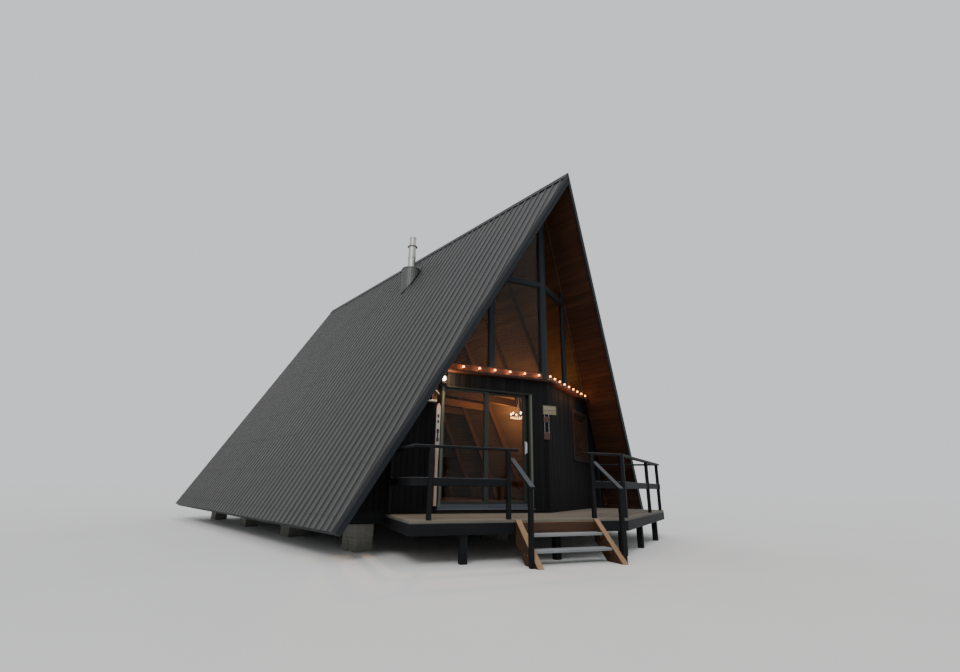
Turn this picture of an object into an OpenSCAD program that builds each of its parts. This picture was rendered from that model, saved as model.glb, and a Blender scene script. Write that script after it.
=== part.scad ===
// A-frame cabin with a prow front, a deck with a stair, and a stove flue through the roof
// Millimetres, +Z up. X = 0 is the plane of the ridge, the front looks to -Y, and Z = 0 is the ground.
// Lengths along a front wall half are taken from the prow's vertex, and "out" is away from that wall.

/* [Roof] */
// Height of the ridge above the ground
ridge_z = 7372; // [6800:1:8200]
// Half of the roof's width, at the outside of an eave
eave_half = 3953; // [3700:1:4400]
// Height of the eaves above the ground
eave_z = 397; // [350:1:480]
// How far the ridge runs out in front of the wall's vertex
ridge_out = 762; // [500:1:1000]
// How far the front corner of an eave lies behind the wall's vertex
eave_back = 415; // [200:1:700]
// How far the roof runs out past the back wall
back_out = 600; // [300:1:900]
// Thickness of the roof boards and insulation, square to the slope
deck_t = 95; // [80:1:130]
// Thickness of the metal sheet
sheet_t = 6; // [4:1:10]
// Height of the sheet's ribs
rib_h = 19; // [12:1:26]
// Distance between the ribs
rib_pitch = 203; // [150:1:300]
// Width of a rib at its foot
rib_w = 46; // [30:1:60]
// Thickness of the boards along the rakes and eaves
trim_t = 38; // [25:1:45]
// Length of each wing of the ridge cap
cap_wing = 160; // [110:1:200]
// Thickness of the ridge cap
cap_t = 3; // [2:1:5]

/* [Roof frame] */
// Depth of the rafters that show inside
rafter_d = 140; // [100:1:180]
// Thickness of the rafters and ties
rafter_t = 45; // [38:1:70]
// Number of rafter pairs
rafter_n = 8; // [6:1:9]
// Distance from the wall's vertex to the first rafter pair
rafter_y0 = 1700; // [1600:1:1900]
// Depth of the ridge beam
beam_d = 240; // [180:1:300]
// Width of the ridge beam
beam_w = 90; // [60:1:120]
// Height of the ties' lower edge above the floor
tie_z = 2420; // [2300:1:2700]
// Depth of the ties
tie_d = 184; // [140:1:230]

/* [Floor and piers] */
// Height of the floor above the ground
floor_z = 610; // [560:1:700]
// Thickness of the closed floor
floor_t = 200; // [150:1:220]
// Distance from the wall's vertex to the back wall's outer face
cabin_len = 10000; // [9000:1:11000]
// Width of a pier
pier_w = 300; // [250:1:400]
// Length of a pier
pier_l = 450; // [350:1:600]
// Distance from the ridge plane to the middle of the outer piers
pier_x = 3010; // [2700:1:3200]
// Distance from the wall's vertex to the middle of the first piers
pier_y0 = 1450; // [1300:1:1700]
// Number of piers in a row
pier_n = 4; // [3:1:5]

/* [Front wall] */
// Angle by which each half of the front turns back
prow_deg = 18.9; // [15:0.1:21]
// Thickness of the walls
wall_t = 140; // [110:1:170]
// Half width of the centre post, along a wall
post_half = 96; // [80:1:110]
// Height of the lower wall above the floor
wall_h = 2320; // [2250:1:2400]
// How far the ledge stands out
ledge_out = 104; // [60:1:140]
// Thickness of the ledge board
ledge_t = 38; // [30:1:50]
// Height of the sill board over the ledge
sill_h = 140; // [100:1:170]
// Thickness of the gable's frame timbers
gable_t = 90; // [70:1:110]
// Distance from the vertex to the near side of a mullion
mullion_s = 1120; // [1000:1:1250]
// Width of a mullion
mullion_w = 115; // [90:1:140]
// Height of the transoms above the floor
transom_z = 4341; // [4200:1:4400]
// Depth of a transom
transom_h = 101; // [80:1:120]
// Thickness of the panes
glass_t = 12; // [8:1:16]
// Distance from a wall's face to its panes
glass_in = 40; // [25:1:50]

/* [Sliding door] */
// Distance from the vertex to the near side of the door frame
door_s = 346; // [250:1:420]
// Width of the door frame
door_w = 1803; // [1700:1:1900]
// Height of the door frame
door_h = 2060; // [2000:1:2150]
// Width of the jamb beside the sliding panel
jamb_w = 70; // [50:1:90]
// Width of the jamb beside the fixed panel
far_jamb_w = 40; // [30:1:60]
// Height of the head
head_h = 25; // [20:1:40]
// Height of the threshold
threshold_h = 35; // [25:1:50]
// How far the door frame stands out of the wall
frame_out = 12; // [5:1:20]
// Thickness of a door panel
panel_t = 38; // [32:1:42]
// Width of a panel's stiles
stile_w = 75; // [60:1:95]
// Width of the fixed panel's stile at its jamb
far_stile_w = 40; // [30:1:60]
// Height of a panel's lower rail
rail_h = 90; // [75:1:120]
// Height of a panel's upper rail
top_rail_h = 32; // [25:1:50]
// Clearance round the sliding panel
door_gap = 6; // [5:1:8]
// Height of the handle's middle above the floor
handle_z = 1065; // [950:1:1150]
// Length of the handle
handle_l = 190; // [150:1:230]

/* [Windows] */
// Distance from the vertex to the near side of the front window
window_s = 1500; // [1400:1:1600]
// Width of a window
window_w = 920; // [700:1:960]
// Height of a window
window_h = 1000; // [800:1:1050]
// Height of a window's sill above the floor
window_z = 950; // [850:1:1000]
// Height of the upper back window's sill above the floor
loft_window_z = 3000; // [2900:1:3200]
// Width of the window frames
frame_w = 50; // [40:1:70]

/* [Deck] */
// Height of the deck's surface above the ground
deck_z = 553; // [520:1:556]
// Distance from the wall to the deck's edge
deck_out = 1465; // [1300:1:1600]
// Length of the deck along each wall, from the vertex's line
deck_s = 2985; // [2850:1:3050]
// Thickness of the deck boards
board_t = 38; // [28:1:45]
// Depth of the deck's rim and joists
rim_d = 150; // [120:1:184]
// Thickness of rims and joists
rim_t = 38; // [30:1:45]
// Distance between the deck's joists
joist_gap = 730; // [600:1:740]
// Side of the posts under the deck
foot_w = 100; // [89:1:140]
// Side of the railing posts
rail_post = 60; // [50:1:75]
// Height of the railing above the deck
rail_z = 970; // [900:1:1050]
// Height of the middle rail's top above the deck
mid_z = 541; // [450:1:600]
// Width of the top rails
rail_w = 89; // [75:1:110]
// Thickness of rails
rail_t = 38; // [30:1:45]
// Height of the middle rail
mid_h = 110; // [80:1:140]
// How far the left top rail runs past its post towards the stair
rail_over = 118; // [60:1:160]
// How far the top rail of the right half reaches past its post at the stair
past_post = 40; // [20:1:80]
// Distance from the deck's end to the last post of a front railing
post_inset = 290; // [200:1:400]

/* [Stair] */
// Distance from the vertex's line to the stair's near side
stair_s = 49; // [20:1:120]
// Width of the stair over its stringers
stair_w = 1414; // [1200:1:1500]
// Rise of a step
rise = 180; // [165:1:190]
// Going of a step
going = 203; // [190:1:250]
// Depth of a stringer board, square to its slope
stringer_d = 235; // [200:1:260]
// Thickness of a stringer
stringer_t = 90; // [60:1:95]
// Thickness of a tread
tread_t = 38; // [30:1:45]
// How far a newel's front stands back from the stair's foot
newel_back = 90; // [60:1:130]
// How far a handrail's low end reaches past its newel
handrail_past = 21; // [10:1:40]
// Height of a handrail's low end above the ground
newel_z = 993; // [930:1:1060]
// Width of a handrail
handrail_w = 80; // [65:1:95]
// Height of a handrail's top end above the deck
handrail_z = 805; // [750:1:850]

/* [Flue] */
// Distance from the ridge plane to the flue's axis
flue_x = 555; // [450:1:650]
// Distance from the wall's vertex to the flue's axis
flue_y = 4290; // [3900:1:4700]
// Radius of the flue
flue_r = 102; // [76:1:115]
// Thickness of the flue's insulated wall
flue_t = 20; // [10:1:30]
// Height of the flue's top above the ridge
flue_over = 318; // [250:1:450]
// Height of the outlet over the rain brim
outlet_h = 300; // [200:1:350]
// Radius of the rain brim
brim_r = 140; // [130:1:170]
// Radius of the drum that the flue stands in
boot_r = 250; // [200:1:280]
// Height of the drum above the slope, at its axis
boot_h = 290; // [240:1:330]

/* [Fittings] */
// Length of the light string on each half of the ledge
string_l = 2340; // [2200:1:2400]
// Distance between the bulbs on the left half
bulb_gap_left = 311; // [250:1:400]
// Distance between the bulbs on the right half
bulb_gap_right = 285; // [250:1:400]
// Distance from the vertex to the first bulb on each half
bulb_s = 220; // [150:1:300]
// Radius of a bulb
bulb_r = 20; // [15:1:30]
// Height of a bulb's middle over the ledge
bulb_up = 72; // [50:1:90]
// Distance from the wall lamp's axis to the far side of the door frame
sconce_in = 19; // [5:1:40]
// Height of the wall lamp's arm above the floor
sconce_z = 2110; // [2080:1:2150]
// Radius of the wall lamp's glass
sconce_r = 48; // [35:1:55]
// Height of the wall lamp's glass
sconce_h = 170; // [120:1:190]
// Width of the house sign's plate
sign_w = 290; // [240:1:320]
// Height of the house sign's plate
sign_h = 170; // [120:1:200]
// Height of the plate's lower edge above the floor
sign_z = 1700; // [1650:1:1800]
// Width of the boards that hang under the plate
hanging_w = 130; // [100:1:160]
// Distance from the door frame to the birdhouse's middle
birdhouse_gap = 151; // [140:1:160]
// Height of the birdhouse's shelf above the floor
birdhouse_z = 1752; // [1748:1:1775]
// Width of the birdhouse's shelf
birdhouse_w = 170; // [140:1:190]
// Width of a ski
ski_w = 75; // [60:1:85]
// Length of the skis
ski_l = 1685; // [1500:1:1690]
// Height of the skis' lower ends above the floor
ski_low = 58; // [30:1:60]
// Distance from the ridge plane to the chandelier
chandelier_x = 1050; // [600:1:1300]
// Radius of the chandelier
chandelier_r = 190; // [120:1:240]
// Height of the chandelier's ring above the floor
chandelier_z = 1930; // [1900:1:2150]

/* [Hidden] */
$fn = 48;
far = 40000;
seat_gap = 0.1;
past_ridge = 500;

// Roof slope and its layers, as depths square to the slope from the ribs' tops
slope = atan((ridge_z - eave_z) / eave_half);
slope_l = (ridge_z - eave_z) / sin(slope);
metal_d = rib_h + sheet_t;
roof_d = metal_d + deck_t;
rake_d = roof_d + 20;
rake_deg = atan((ridge_out + eave_back) / eave_half);

// The foot of the stair and the newels, as distances out from the deck's edge
stair_run = deck_z / rise * going;
newel_u = stair_run - newel_back;
newel_s0 = stair_s - rail_post;
newel_s1 = stair_s + stair_w;
post_s0 = newel_s0 + handrail_w;
post_s1 = newel_s1 + rail_post;

// The origin lies under the middle of everything, from the stair's nearest foot to the roof's back edge
foot_y = stair_s * sin(prow_deg) - (deck_out + stair_run) * cos(prow_deg);
newel_y = newel_s0 * sin(prow_deg) - (deck_out + newel_u + handrail_past) * cos(prow_deg);
front_y = min(foot_y, newel_y);
back_y = cabin_len + back_out;
vertex_y = -(front_y + back_y) / 2;

// Levels above the ground
floor_bottom = floor_z - floor_t;
ledge_z = floor_z + wall_h;
sill_z = ledge_z + ledge_t;
glass_z = sill_z + sill_h;
transom_low = floor_z + transom_z;
deck_low = deck_z - board_t;
rim_low = deck_low - rim_d;
rail_top = deck_z + rail_z;

// Door panels: the sliding one runs behind the fixed one
panel_s0 = door_s + jamb_w;
panel_s1 = door_s + door_w - far_jamb_w;
panel_w = (panel_s1 - panel_s0 + stile_w) / 2;
fixed_in = 22;
slider_in = fixed_in + panel_t + door_gap;
panel_z0 = floor_z + threshold_h;
panel_z1 = floor_z + door_h - head_h;

// A point in plan on the right half: distance along the wall and out from it
function plan(s, out) = [s * cos(prow_deg) + out * sin(prow_deg), s * sin(prow_deg) - out * cos(prow_deg)];
function flip(p) = [-p[0], p[1]];
function tip(out) = [0, -out / cos(prow_deg)];

module at_vertex() { translate([0, vertex_y, 0]) children(); }
module on_right() { at_vertex() rotate([0, 0, prow_deg]) children(); }
module on_left() { mirror([1, 0, 0]) on_right() children(); }
module both_sides() { children(); mirror([1, 0, 0]) children(); }

// A block in a front wall's own frame, by its ends along the wall, outwards and upwards
module block(s0, s1, out0, out1, z0, z1) {
    translate([s0, -out1, z0]) cube([s1 - s0, out1 - out0, z1 - z0]);
}

// The part of a block on the right of the ridge plane, and a bar round the prow made from two such halves
module half_bar(s1, out0, out1, z0, z1) {
    intersection() {
        on_right() block(-far / 2, s1, out0, out1, z0, z1);
        translate([0, -far / 2, 0]) cube(far);
    }
}

module prow_bar(left, right, out0, out1, z0, z1) {
    half_bar(right, out0, out1, z0, z1);
    mirror([1, 0, 0]) half_bar(left, out0, out1, z0, z1);
}

// The right slope's frame: x runs down the slope from the ridge, z points out of the roof
module on_slope() { at_vertex() translate([0, 0, ridge_z]) rotate([0, slope, 0]) children(); }

// Everything under a plane at a depth below both slopes
module under_roof(d) {
    top = ridge_z - d / cos(slope);
    half = top / tan(slope);
    translate([0, far / 2, 0]) rotate([90, 0, 0]) linear_extrude(far)
        polygon([[-half, 0], [half, 0], [0, top]]);
}

// The roof's right half in plan, with its front edge and back edge taken in
module roof_plan(front_in, back_in) {
    wide = eave_half + past_ridge;
    y0 = -ridge_out + front_in / cos(rake_deg);
    at_vertex() linear_extrude(ridge_z + past_ridge)
        polygon([[0, y0], [wide, y0 + wide * tan(rake_deg)], [wide, back_y - back_in], [0, back_y - back_in]]);
}

module roof_layer(d0, d1, end_in, front_in, back_in) {
    intersection() {
        on_slope() translate([-past_ridge, -far / 2, -d1]) cube([slope_l + past_ridge - end_in, far, d1 - d0]);
        roof_plan(front_in, back_in);
    }
}

module front_rake_half() {
    difference() {
        roof_layer(metal_d, rake_d, 0, 0, 0);
        roof_plan(trim_t, -trim_t);
    }
}

module back_rake_half() {
    intersection() {
        roof_layer(metal_d, rake_d, 0, trim_t, 0);
        at_vertex() translate([0, back_y - trim_t, 0]) cube([far, trim_t, far]);
    }
}

module eave_board_half() {
    intersection() {
        on_slope() translate([slope_l - trim_t, -far / 2, -rake_d]) cube([trim_t, far, rake_d - metal_d]);
        roof_plan(trim_t, trim_t);
    }
}

module metal_half() {
    first = floor(-ridge_out / rib_pitch);
    last = ceil(back_y / rib_pitch);
    top_w = rib_w * 0.55;
    outline = [
        for (i = [first:last]) each [
            [i * rib_pitch - rib_w / 2, -rib_h], [i * rib_pitch - top_w / 2, 0],
            [i * rib_pitch + top_w / 2, 0], [i * rib_pitch + rib_w / 2, -rib_h]
        ]
    ];
    closing = [[last * rib_pitch + rib_w / 2, -metal_d], [first * rib_pitch - rib_w / 2, -metal_d]];
    intersection() {
        on_slope() translate([-past_ridge, 0, 0]) rotate([90, 0, 90]) linear_extrude(slope_l + past_ridge)
            polygon(concat(outline, closing));
        roof_plan(0, 0);
    }
}

module piers() {
    gap_y = (cabin_len - pier_y0 - pier_l) / (pier_n - 1);
    color("dimgray") at_vertex() for (x = [-pier_x, 0, pier_x], i = [0:pier_n - 1])
        translate([x - pier_w / 2, pier_y0 + i * gap_y - pier_l / 2, 0]) cube([pier_w, pier_l, floor_bottom]);
}

module floor_plate() {
    corner = plan(eave_half / cos(prow_deg), 0);
    color("sienna") intersection() {
        at_vertex() translate([0, seat_gap, floor_bottom]) linear_extrude(floor_t - seat_gap)
            polygon([[0, 0], corner, [corner[0], cabin_len], [-corner[0], cabin_len], flip(corner)]);
        under_roof(roof_d);
    }
}

module roof_deck_half() { color("saddlebrown") roof_layer(metal_d, roof_d, trim_t, trim_t, trim_t); }
module roof_metal_half() { color("darkslategray") metal_half(); }
module rake_color() { color("slategray") children(); }

// Takes the flue's hole out of a layer of the left slope
module flue_hole() {
    difference() {
        children();
        flue_column(flue_r, 0, far);
    }
}

module ridge_cap() {
    color("dimgray") both_sides() intersection() {
        on_slope() translate([-past_ridge, -far / 2, 0]) cube([cap_wing + past_ridge, far, cap_t]);
        roof_plan(0, 0);
    }
}

module eave_boards() { color("slategray") both_sides() eave_board_half(); }

module ridge_beam() {
    y0 = plan(post_half, -wall_t)[1];
    low = ridge_z - roof_d / cos(slope) - beam_d;
    color("peru") intersection() {
        at_vertex() translate([-beam_w / 2, y0, low]) cube([beam_w, cabin_len - wall_t - y0, far]);
        under_roof(roof_d);
    }
}

function rafter_y(i) = rafter_y0 + i * (cabin_len - wall_t - rafter_t - 300 - rafter_y0) / (rafter_n - 1);

module rafters() {
    color("peru") both_sides() for (i = [0:rafter_n - 1]) intersection() {
        on_slope() translate([-past_ridge, rafter_y(i), -roof_d - rafter_d])
            cube([slope_l + past_ridge, rafter_t, rafter_d]);
        at_vertex() translate([beam_w / 2, 0, floor_z]) cube(far);
    }
}

module collar_ties() {
    color("peru") for (i = [0:rafter_n - 1]) intersection() {
        at_vertex() translate([-far / 2, rafter_y(i) + rafter_t, floor_z + tie_z]) cube([far, rafter_t, tie_d]);
        under_roof(roof_d);
    }
}

module front_wall_left() {
    color("#26272b") intersection() {
        on_left() block(door_s + door_w, far, -wall_t, 0, floor_z, ledge_z);
        under_roof(roof_d);
    }
}

module front_wall_over_door() {
    color("#26272b") on_left() block(door_s, door_s + door_w, -wall_t, 0, floor_z + door_h, ledge_z);
}

module front_wall_corner() {
    color("#26272b") on_left() block(post_edge, door_s, -wall_t, 0, floor_z, ledge_z);
}

module front_wall_right() {
    color("#26272b") intersection() {
        on_right() difference() {
            block(post_edge, far, -wall_t, 0, floor_z, ledge_z);
            block(window_s, window_s + window_w, -far, far, floor_z + window_z, floor_z + window_z + window_h);
        }
        under_roof(roof_d);
    }
}

// Where the pieces beside the centre post start
post_edge = post_half + seat_gap;

module centre_post() {
    outline = [[0, 0], plan(post_half, 0), plan(post_half, -wall_t)];
    color("#3b4650") intersection() {
        at_vertex() translate([0, 0, floor_z]) linear_extrude(far)
            polygon(concat(outline, [flip(outline[2]), flip(outline[1])]));
        under_roof(roof_d);
    }
}

module ledge() {
    post = [tip(0), plan(post_half, 0), plan(post_half, -wall_t - 1)];
    color("#2a2321") intersection() {
        difference() {
            prow_bar(far, far, -wall_t, ledge_out, ledge_z, sill_z);
            at_vertex() linear_extrude(far) polygon(concat(post, [flip(post[2]), flip(post[1])]));
        }
        under_roof(roof_d);
    }
}

module gable_sills() {
    color("sienna") intersection() {
        both_sides() on_right() block(post_edge, far, -gable_t, 0, sill_z, glass_z);
        under_roof(roof_d);
    }
}

module gable_bars() {
    color("#3b4650") intersection() {
        both_sides() on_right() {
            block(mullion_s, mullion_s + mullion_w, -gable_t, 0, glass_z, far);
            block(post_edge, mullion_s, -gable_t, 0, transom_low, transom_low + transom_h);
        }
        under_roof(roof_d);
    }
}

module gable_glass() {
    color("lightsteelblue", 0.5) intersection() {
        both_sides() on_right() {
            block(post_edge, mullion_s, -glass_in - glass_t, -glass_in, glass_z, transom_low);
            block(post_edge, mullion_s, -glass_in - glass_t, -glass_in, transom_low + transom_h, far);
            block(mullion_s + mullion_w, far, -glass_in - glass_t, -glass_in, glass_z, far);
        }
        under_roof(roof_d);
    }
}

module door_frame() {
    color("#2f3a36") on_left() difference() {
        block(door_s, door_s + door_w, -wall_t, frame_out, floor_z, floor_z + door_h);
        block(panel_s0, panel_s1, -far, far, panel_z0, panel_z1);
    }
}

// A door panel's frame, with the sheet of glass that fills it
module panel_ring(s0, s1, in0, z0, z1, far_stile) {
    difference() {
        block(s0, s1, -in0 - panel_t, -in0, z0, z1);
        block(s0 + stile_w, s1 - far_stile, -far, far, z0 + rail_h, z1 - top_rail_h);
    }
}

module panel_glass(s0, s1, in0, z0, z1, far_stile) {
    middle = in0 + panel_t / 2;
    block(s0 + stile_w, s1 - far_stile, -middle - glass_t / 2, -middle + glass_t / 2, z0 + rail_h,
        z1 - top_rail_h);
}

module door_fixed_panel() {
    color("#2f3a36") on_left()
        panel_ring(panel_s1 - panel_w, panel_s1, fixed_in, panel_z0, panel_z1, far_stile_w);
}

module door_fixed_glass() {
    color("burlywood", 0.5) on_left()
        panel_glass(panel_s1 - panel_w, panel_s1, fixed_in, panel_z0, panel_z1, far_stile_w);
}

slider_s0 = panel_s0 + door_gap;
slider_s1 = panel_s0 + panel_w;
slider_z0 = panel_z0 + door_gap;
slider_z1 = panel_z1 - door_gap;
roller_gap = 0.3;

module door_slider() {
    roller_r = 15;
    middle = slider_in + panel_t / 2;
    color("#2f3a36") on_left() {
        panel_ring(slider_s0, slider_s1, slider_in, slider_z0, slider_z1, stile_w);
        for (s = [slider_s0 + stile_w, slider_s1 - stile_w])
            translate([s, middle - 5, panel_z0 + roller_gap + roller_r]) rotate([-90, 0, 0]) cylinder(r = roller_r, h = 10);
    }
}

module door_slider_glass() {
    color("burlywood", 0.5) on_left()
        panel_glass(slider_s0, slider_s1, slider_in, slider_z0, slider_z1, stile_w);
}

module door_handle() {
    s = slider_s0 + stile_w / 2;
    grip_out = -12;
    color("silver") on_left() {
        block(s - 12, s + 12, grip_out - 14, grip_out, floor_z + handle_z - handle_l / 2,
            floor_z + handle_z + handle_l / 2);
        for (end = [-1, 1]) translate([s, -grip_out, floor_z + handle_z + end * (handle_l / 2 - 15)])
            rotate([-90, 0, 0]) cylinder(r = 8, h = slider_in + grip_out);
    }
}

module window_ring(x0, z0) {
    difference() {
        translate([x0, 0, z0]) cube([window_w, wall_t, window_h]);
        translate([x0 + frame_w, -1, z0 + frame_w])
            cube([window_w - 2 * frame_w, wall_t + 2, window_h - 2 * frame_w]);
    }
}

module window_sheet(x0, z0) {
    translate([x0 + frame_w, glass_in, z0 + frame_w])
        cube([window_w - 2 * frame_w, glass_t, window_h - 2 * frame_w]);
}

// The frames of reference of the three windows
module each_window(front) {
    if (front) on_right() children();
    else at_vertex() translate([0, cabin_len, 0]) rotate([0, 0, 180]) children();
}

module window_frames() {
    color("saddlebrown") {
        each_window(true) window_ring(window_s, floor_z + window_z);
        each_window(false) window_ring(-window_w / 2, floor_z + window_z);
        each_window(false) window_ring(-window_w / 2, floor_z + loft_window_z);
    }
}

module window_panes() {
    color("tan") {
        each_window(true) window_sheet(window_s, floor_z + window_z);
        each_window(false) window_sheet(-window_w / 2, floor_z + window_z);
        each_window(false) window_sheet(-window_w / 2, floor_z + loft_window_z);
    }
}

module back_wall() {
    color("#26272b") intersection() {
        each_window(false) difference() {
            translate([-far / 2, 0, floor_z]) cube([far, wall_t, far]);
            for (z = [window_z, loft_window_z])
                translate([-window_w / 2, -1, floor_z + z]) cube([window_w, wall_t + 2, window_h]);
        }
        under_roof(roof_d);
    }
}

module deck_boards_half() {
    color("#8a7a66") at_vertex() translate([0, 0, deck_low]) linear_extrude(board_t)
        polygon([[0, 0], tip(deck_out), plan(deck_s, deck_out), plan(deck_s, 0)]);
}

module deck_rim() {
    color("#2b2e33") {
        prow_bar(deck_s, deck_s, deck_out - rim_t, deck_out, rim_low, deck_low);
        both_sides() on_right() block(deck_s - rim_t, deck_s, 0, deck_out - rim_t, rim_low, deck_low);
    }
}

// Where the joists lie along a wall
joist_s = [for (s = [joist_gap:joist_gap:deck_s - joist_gap / 2]) s];

module deck_joists() {
    side = rim_t / 2;
    slant = [side, side * tan(prow_deg)];
    joist_end = deck_out - rim_t - seat_gap;
    end = tip(joist_end);
    color("#4a4038") {
        at_vertex() translate([0, 0, rim_low]) linear_extrude(rim_d)
            polygon([[0, 0], slant, end + slant, end, end + flip(slant), flip(slant)]);
        both_sides() on_right() for (s = joist_s) block(s, s + rim_t, 0, joist_end, rim_low, deck_low);
    }
}

module deck_posts() {
    color("#2b2e33") {
        at_vertex() translate([-foot_w / 2, tip(deck_out - rim_t)[1] + foot_w / 4, 0])
            cube([foot_w, foot_w, rim_low]);
        both_sides() on_right() for (s = [joist_s[0], joist_s[len(joist_s) - 1]])
            translate([(rim_t - foot_w) / 2, 0, 0])
                block(s, s + foot_w, deck_out - rim_t - foot_w, deck_out - rim_t, 0, rim_low);
    }
}

// A railing post on the deck's edge, and its top and middle rails
post_out0 = deck_out - rail_post;
far_post_s = deck_s - post_inset;
side_s = deck_s - rail_post;
corner_s = rail_post - deck_out * tan(prow_deg);

module rail_posts(places) {
    for (s = places) block(s, s + rail_post, post_out0, deck_out, deck_z, rail_top - rail_t);
}

module rail_left() {
    color("#2b2e33") on_left() {
        rail_posts([post_s1, far_post_s]);
        block(post_s1 - rail_over, deck_s, deck_out - rail_w, deck_out, rail_top - rail_t, rail_top);
        block(post_s1 + rail_post, deck_s, post_out0, post_out0 + rail_t, deck_z + mid_z - mid_h, deck_z + mid_z);
    }
}

module side_rails() {
    color("#2b2e33") both_sides() on_right() {
        block(side_s, deck_s, rail_post, 2 * rail_post, deck_z, rail_top - rail_t);
        block(deck_s - rail_w, deck_s, 0, deck_out - rail_w, rail_top - rail_t, rail_top);
        block(side_s, side_s + rail_t, 0, post_out0, deck_z + mid_z - mid_h, deck_z + mid_z);
    }
}

module rail_right() {
    color("#2b2e33") {
        on_left() rail_posts([post_s0]);
        on_right() rail_posts([post_s1, far_post_s]);
        prow_bar(corner_s, corner_s, post_out0, deck_out, deck_z, rail_top - rail_t);
        prow_bar(post_s0 + rail_post + past_post, deck_s, deck_out - rail_w, deck_out, rail_top - rail_t, rail_top);
        prow_bar(post_s0, deck_s, post_out0, post_out0 + rail_t, deck_z + mid_z - mid_h, deck_z + mid_z);
    }
}

// The stair goes down from the left half of the deck
module stringer_side() {
    drop = stringer_d / cos(atan(rise / going));
    low_u = max(0, (deck_z - drop) / rise * going);
    polygon([[seat_gap, deck_z], [stair_run, 0], [low_u, 0], [seat_gap, max(0, deck_z - drop)]]);
}

// A piece of the stair, from its outline as distances out from the deck's edge and heights
module stair_board(s, width) {
    on_left() translate([s + width, -deck_out, 0]) rotate([90, 0, -90]) linear_extrude(width) children();
}

module stair_stringers() {
    color("peru") for (s = [stair_s, stair_s + stair_w - stringer_t]) stair_board(s, stringer_t) stringer_side();
}

module stair_treads() {
    color("darkgray") on_left() for (i = [1:floor((deck_z - 2 * tread_t) / rise)])
        block(stair_s + stringer_t, stair_s + stair_w - stringer_t, deck_out + (i - 1) * going,
            deck_out + i * going, deck_z - i * rise - tread_t, deck_z - i * rise);
}

// A board over the upper tread's back edge
module stair_riser() {
    low = max(rim_low, deck_z - rise);
    color("peru") on_left()
        block(stair_s + stringer_t, stair_s + stair_w - stringer_t, deck_out, deck_out + 20, low, deck_low);
}

// Each handrail starts beside a deck post and lies on a newel beside the stair
handrail_low = newel_u + handrail_past;
handrail_fall = (deck_z + handrail_z - newel_z) / handrail_low;

function handrail_top(u) = deck_z + handrail_z - handrail_fall * u;

module handrails() {
    back = newel_u - rail_post;
    color("#2b2e33") {
        for (s = [newel_s0, post_s1 - handrail_w]) stair_board(s, handrail_w)
            polygon([[-rail_post, handrail_top(-rail_post)], [handrail_low, newel_z],
                [handrail_low, newel_z - rail_t], [-rail_post, handrail_top(-rail_post) - rail_t]]);
        for (s = [newel_s0, newel_s1]) stair_board(s, rail_post)
            polygon([[back, 0], [newel_u, 0], [newel_u, handrail_top(newel_u) - rail_t / 2],
                [back, handrail_top(back) - rail_t / 2]]);
    }
}

flue_base = ridge_z - flue_x * tan(slope);
brim_z = ridge_z + flue_over - outlet_h;
boot_z = flue_base + boot_h;

// The flue's straight way through the roof, on the left slope
module flue_column(r, z0, z1) { at_vertex() translate([-flue_x, flue_y, z0]) cylinder(r = r, h = z1 - z0); }

module flue_pipe() {
    low = flue_base - 2 * roof_d / cos(slope);
    color("silver") difference() {
        flue_column(flue_r, low, brim_z);
        flue_column(flue_r - flue_t, 0, far);
        under_roof(roof_d);
    }
}

module flue_cap() {
    brim_t = 30;
    outlet_r = flue_r - 15;
    color("silver") {
        flue_column(brim_r, brim_z, brim_z + brim_t);
        flue_column(outlet_r, brim_z, brim_z + outlet_h);
    }
}

// A drum with a flat cone on it, on a flange that lies on the ribs
module flue_flashing() {
    flange_w = 50;
    flange_t = 12;
    cone_h = 60;
    low = flue_base - (boot_r + flange_w) * tan(slope);
    color("dimgray") difference() {
        union() {
            flue_column(boot_r, low, boot_z);
            at_vertex() translate([-flue_x, flue_y, boot_z]) cylinder(r1 = boot_r, r2 = flue_r + 15, h = cone_h);
            intersection() {
                flue_column(boot_r + flange_w, low, ridge_z);
                under_roof(-flange_t);
            }
        }
        under_roof(0);
        flue_column(flue_r, 0, far);
    }
}

module wall_lamp() {
    arm_out = sconce_r + 30;
    color("antiquewhite") on_left() translate([door_s + door_w - sconce_in, 0, floor_z + sconce_z]) {
        rotate([90, 0, 0]) cylinder(r = 40, h = 20);
        rotate([90, 0, 0]) cylinder(r = 12, h = arm_out);
        translate([0, -arm_out, -12]) cylinder(r = sconce_r, h = sconce_h);
    }
}

// A plate over the corner, with two small boards that hang under it on rods
module house_sign() {
    plate_s = -180;
    hang_s = -30;
    t = 20;
    rod = 5;
    top_h = 110;
    low_z = 1230;
    low_h = 140;
    color("#9a927c") on_left() {
        block(plate_s, plate_s + sign_w, 0, t, floor_z + sign_z, floor_z + sign_z + sign_h);
        block(hang_s, hang_s + hanging_w, 0, t, floor_z + sign_z - 40 - top_h, floor_z + sign_z - 40);
        block(hang_s, hang_s + hanging_w, 0, t, floor_z + low_z, floor_z + low_z + low_h);
        for (s = [hang_s + 20, hang_s + hanging_w - 20])
            block(s - rod, s + rod, t / 2 - rod, t / 2 + rod, floor_z + low_z + low_h / 2, floor_z + sign_z + rod);
    }
}

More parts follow.
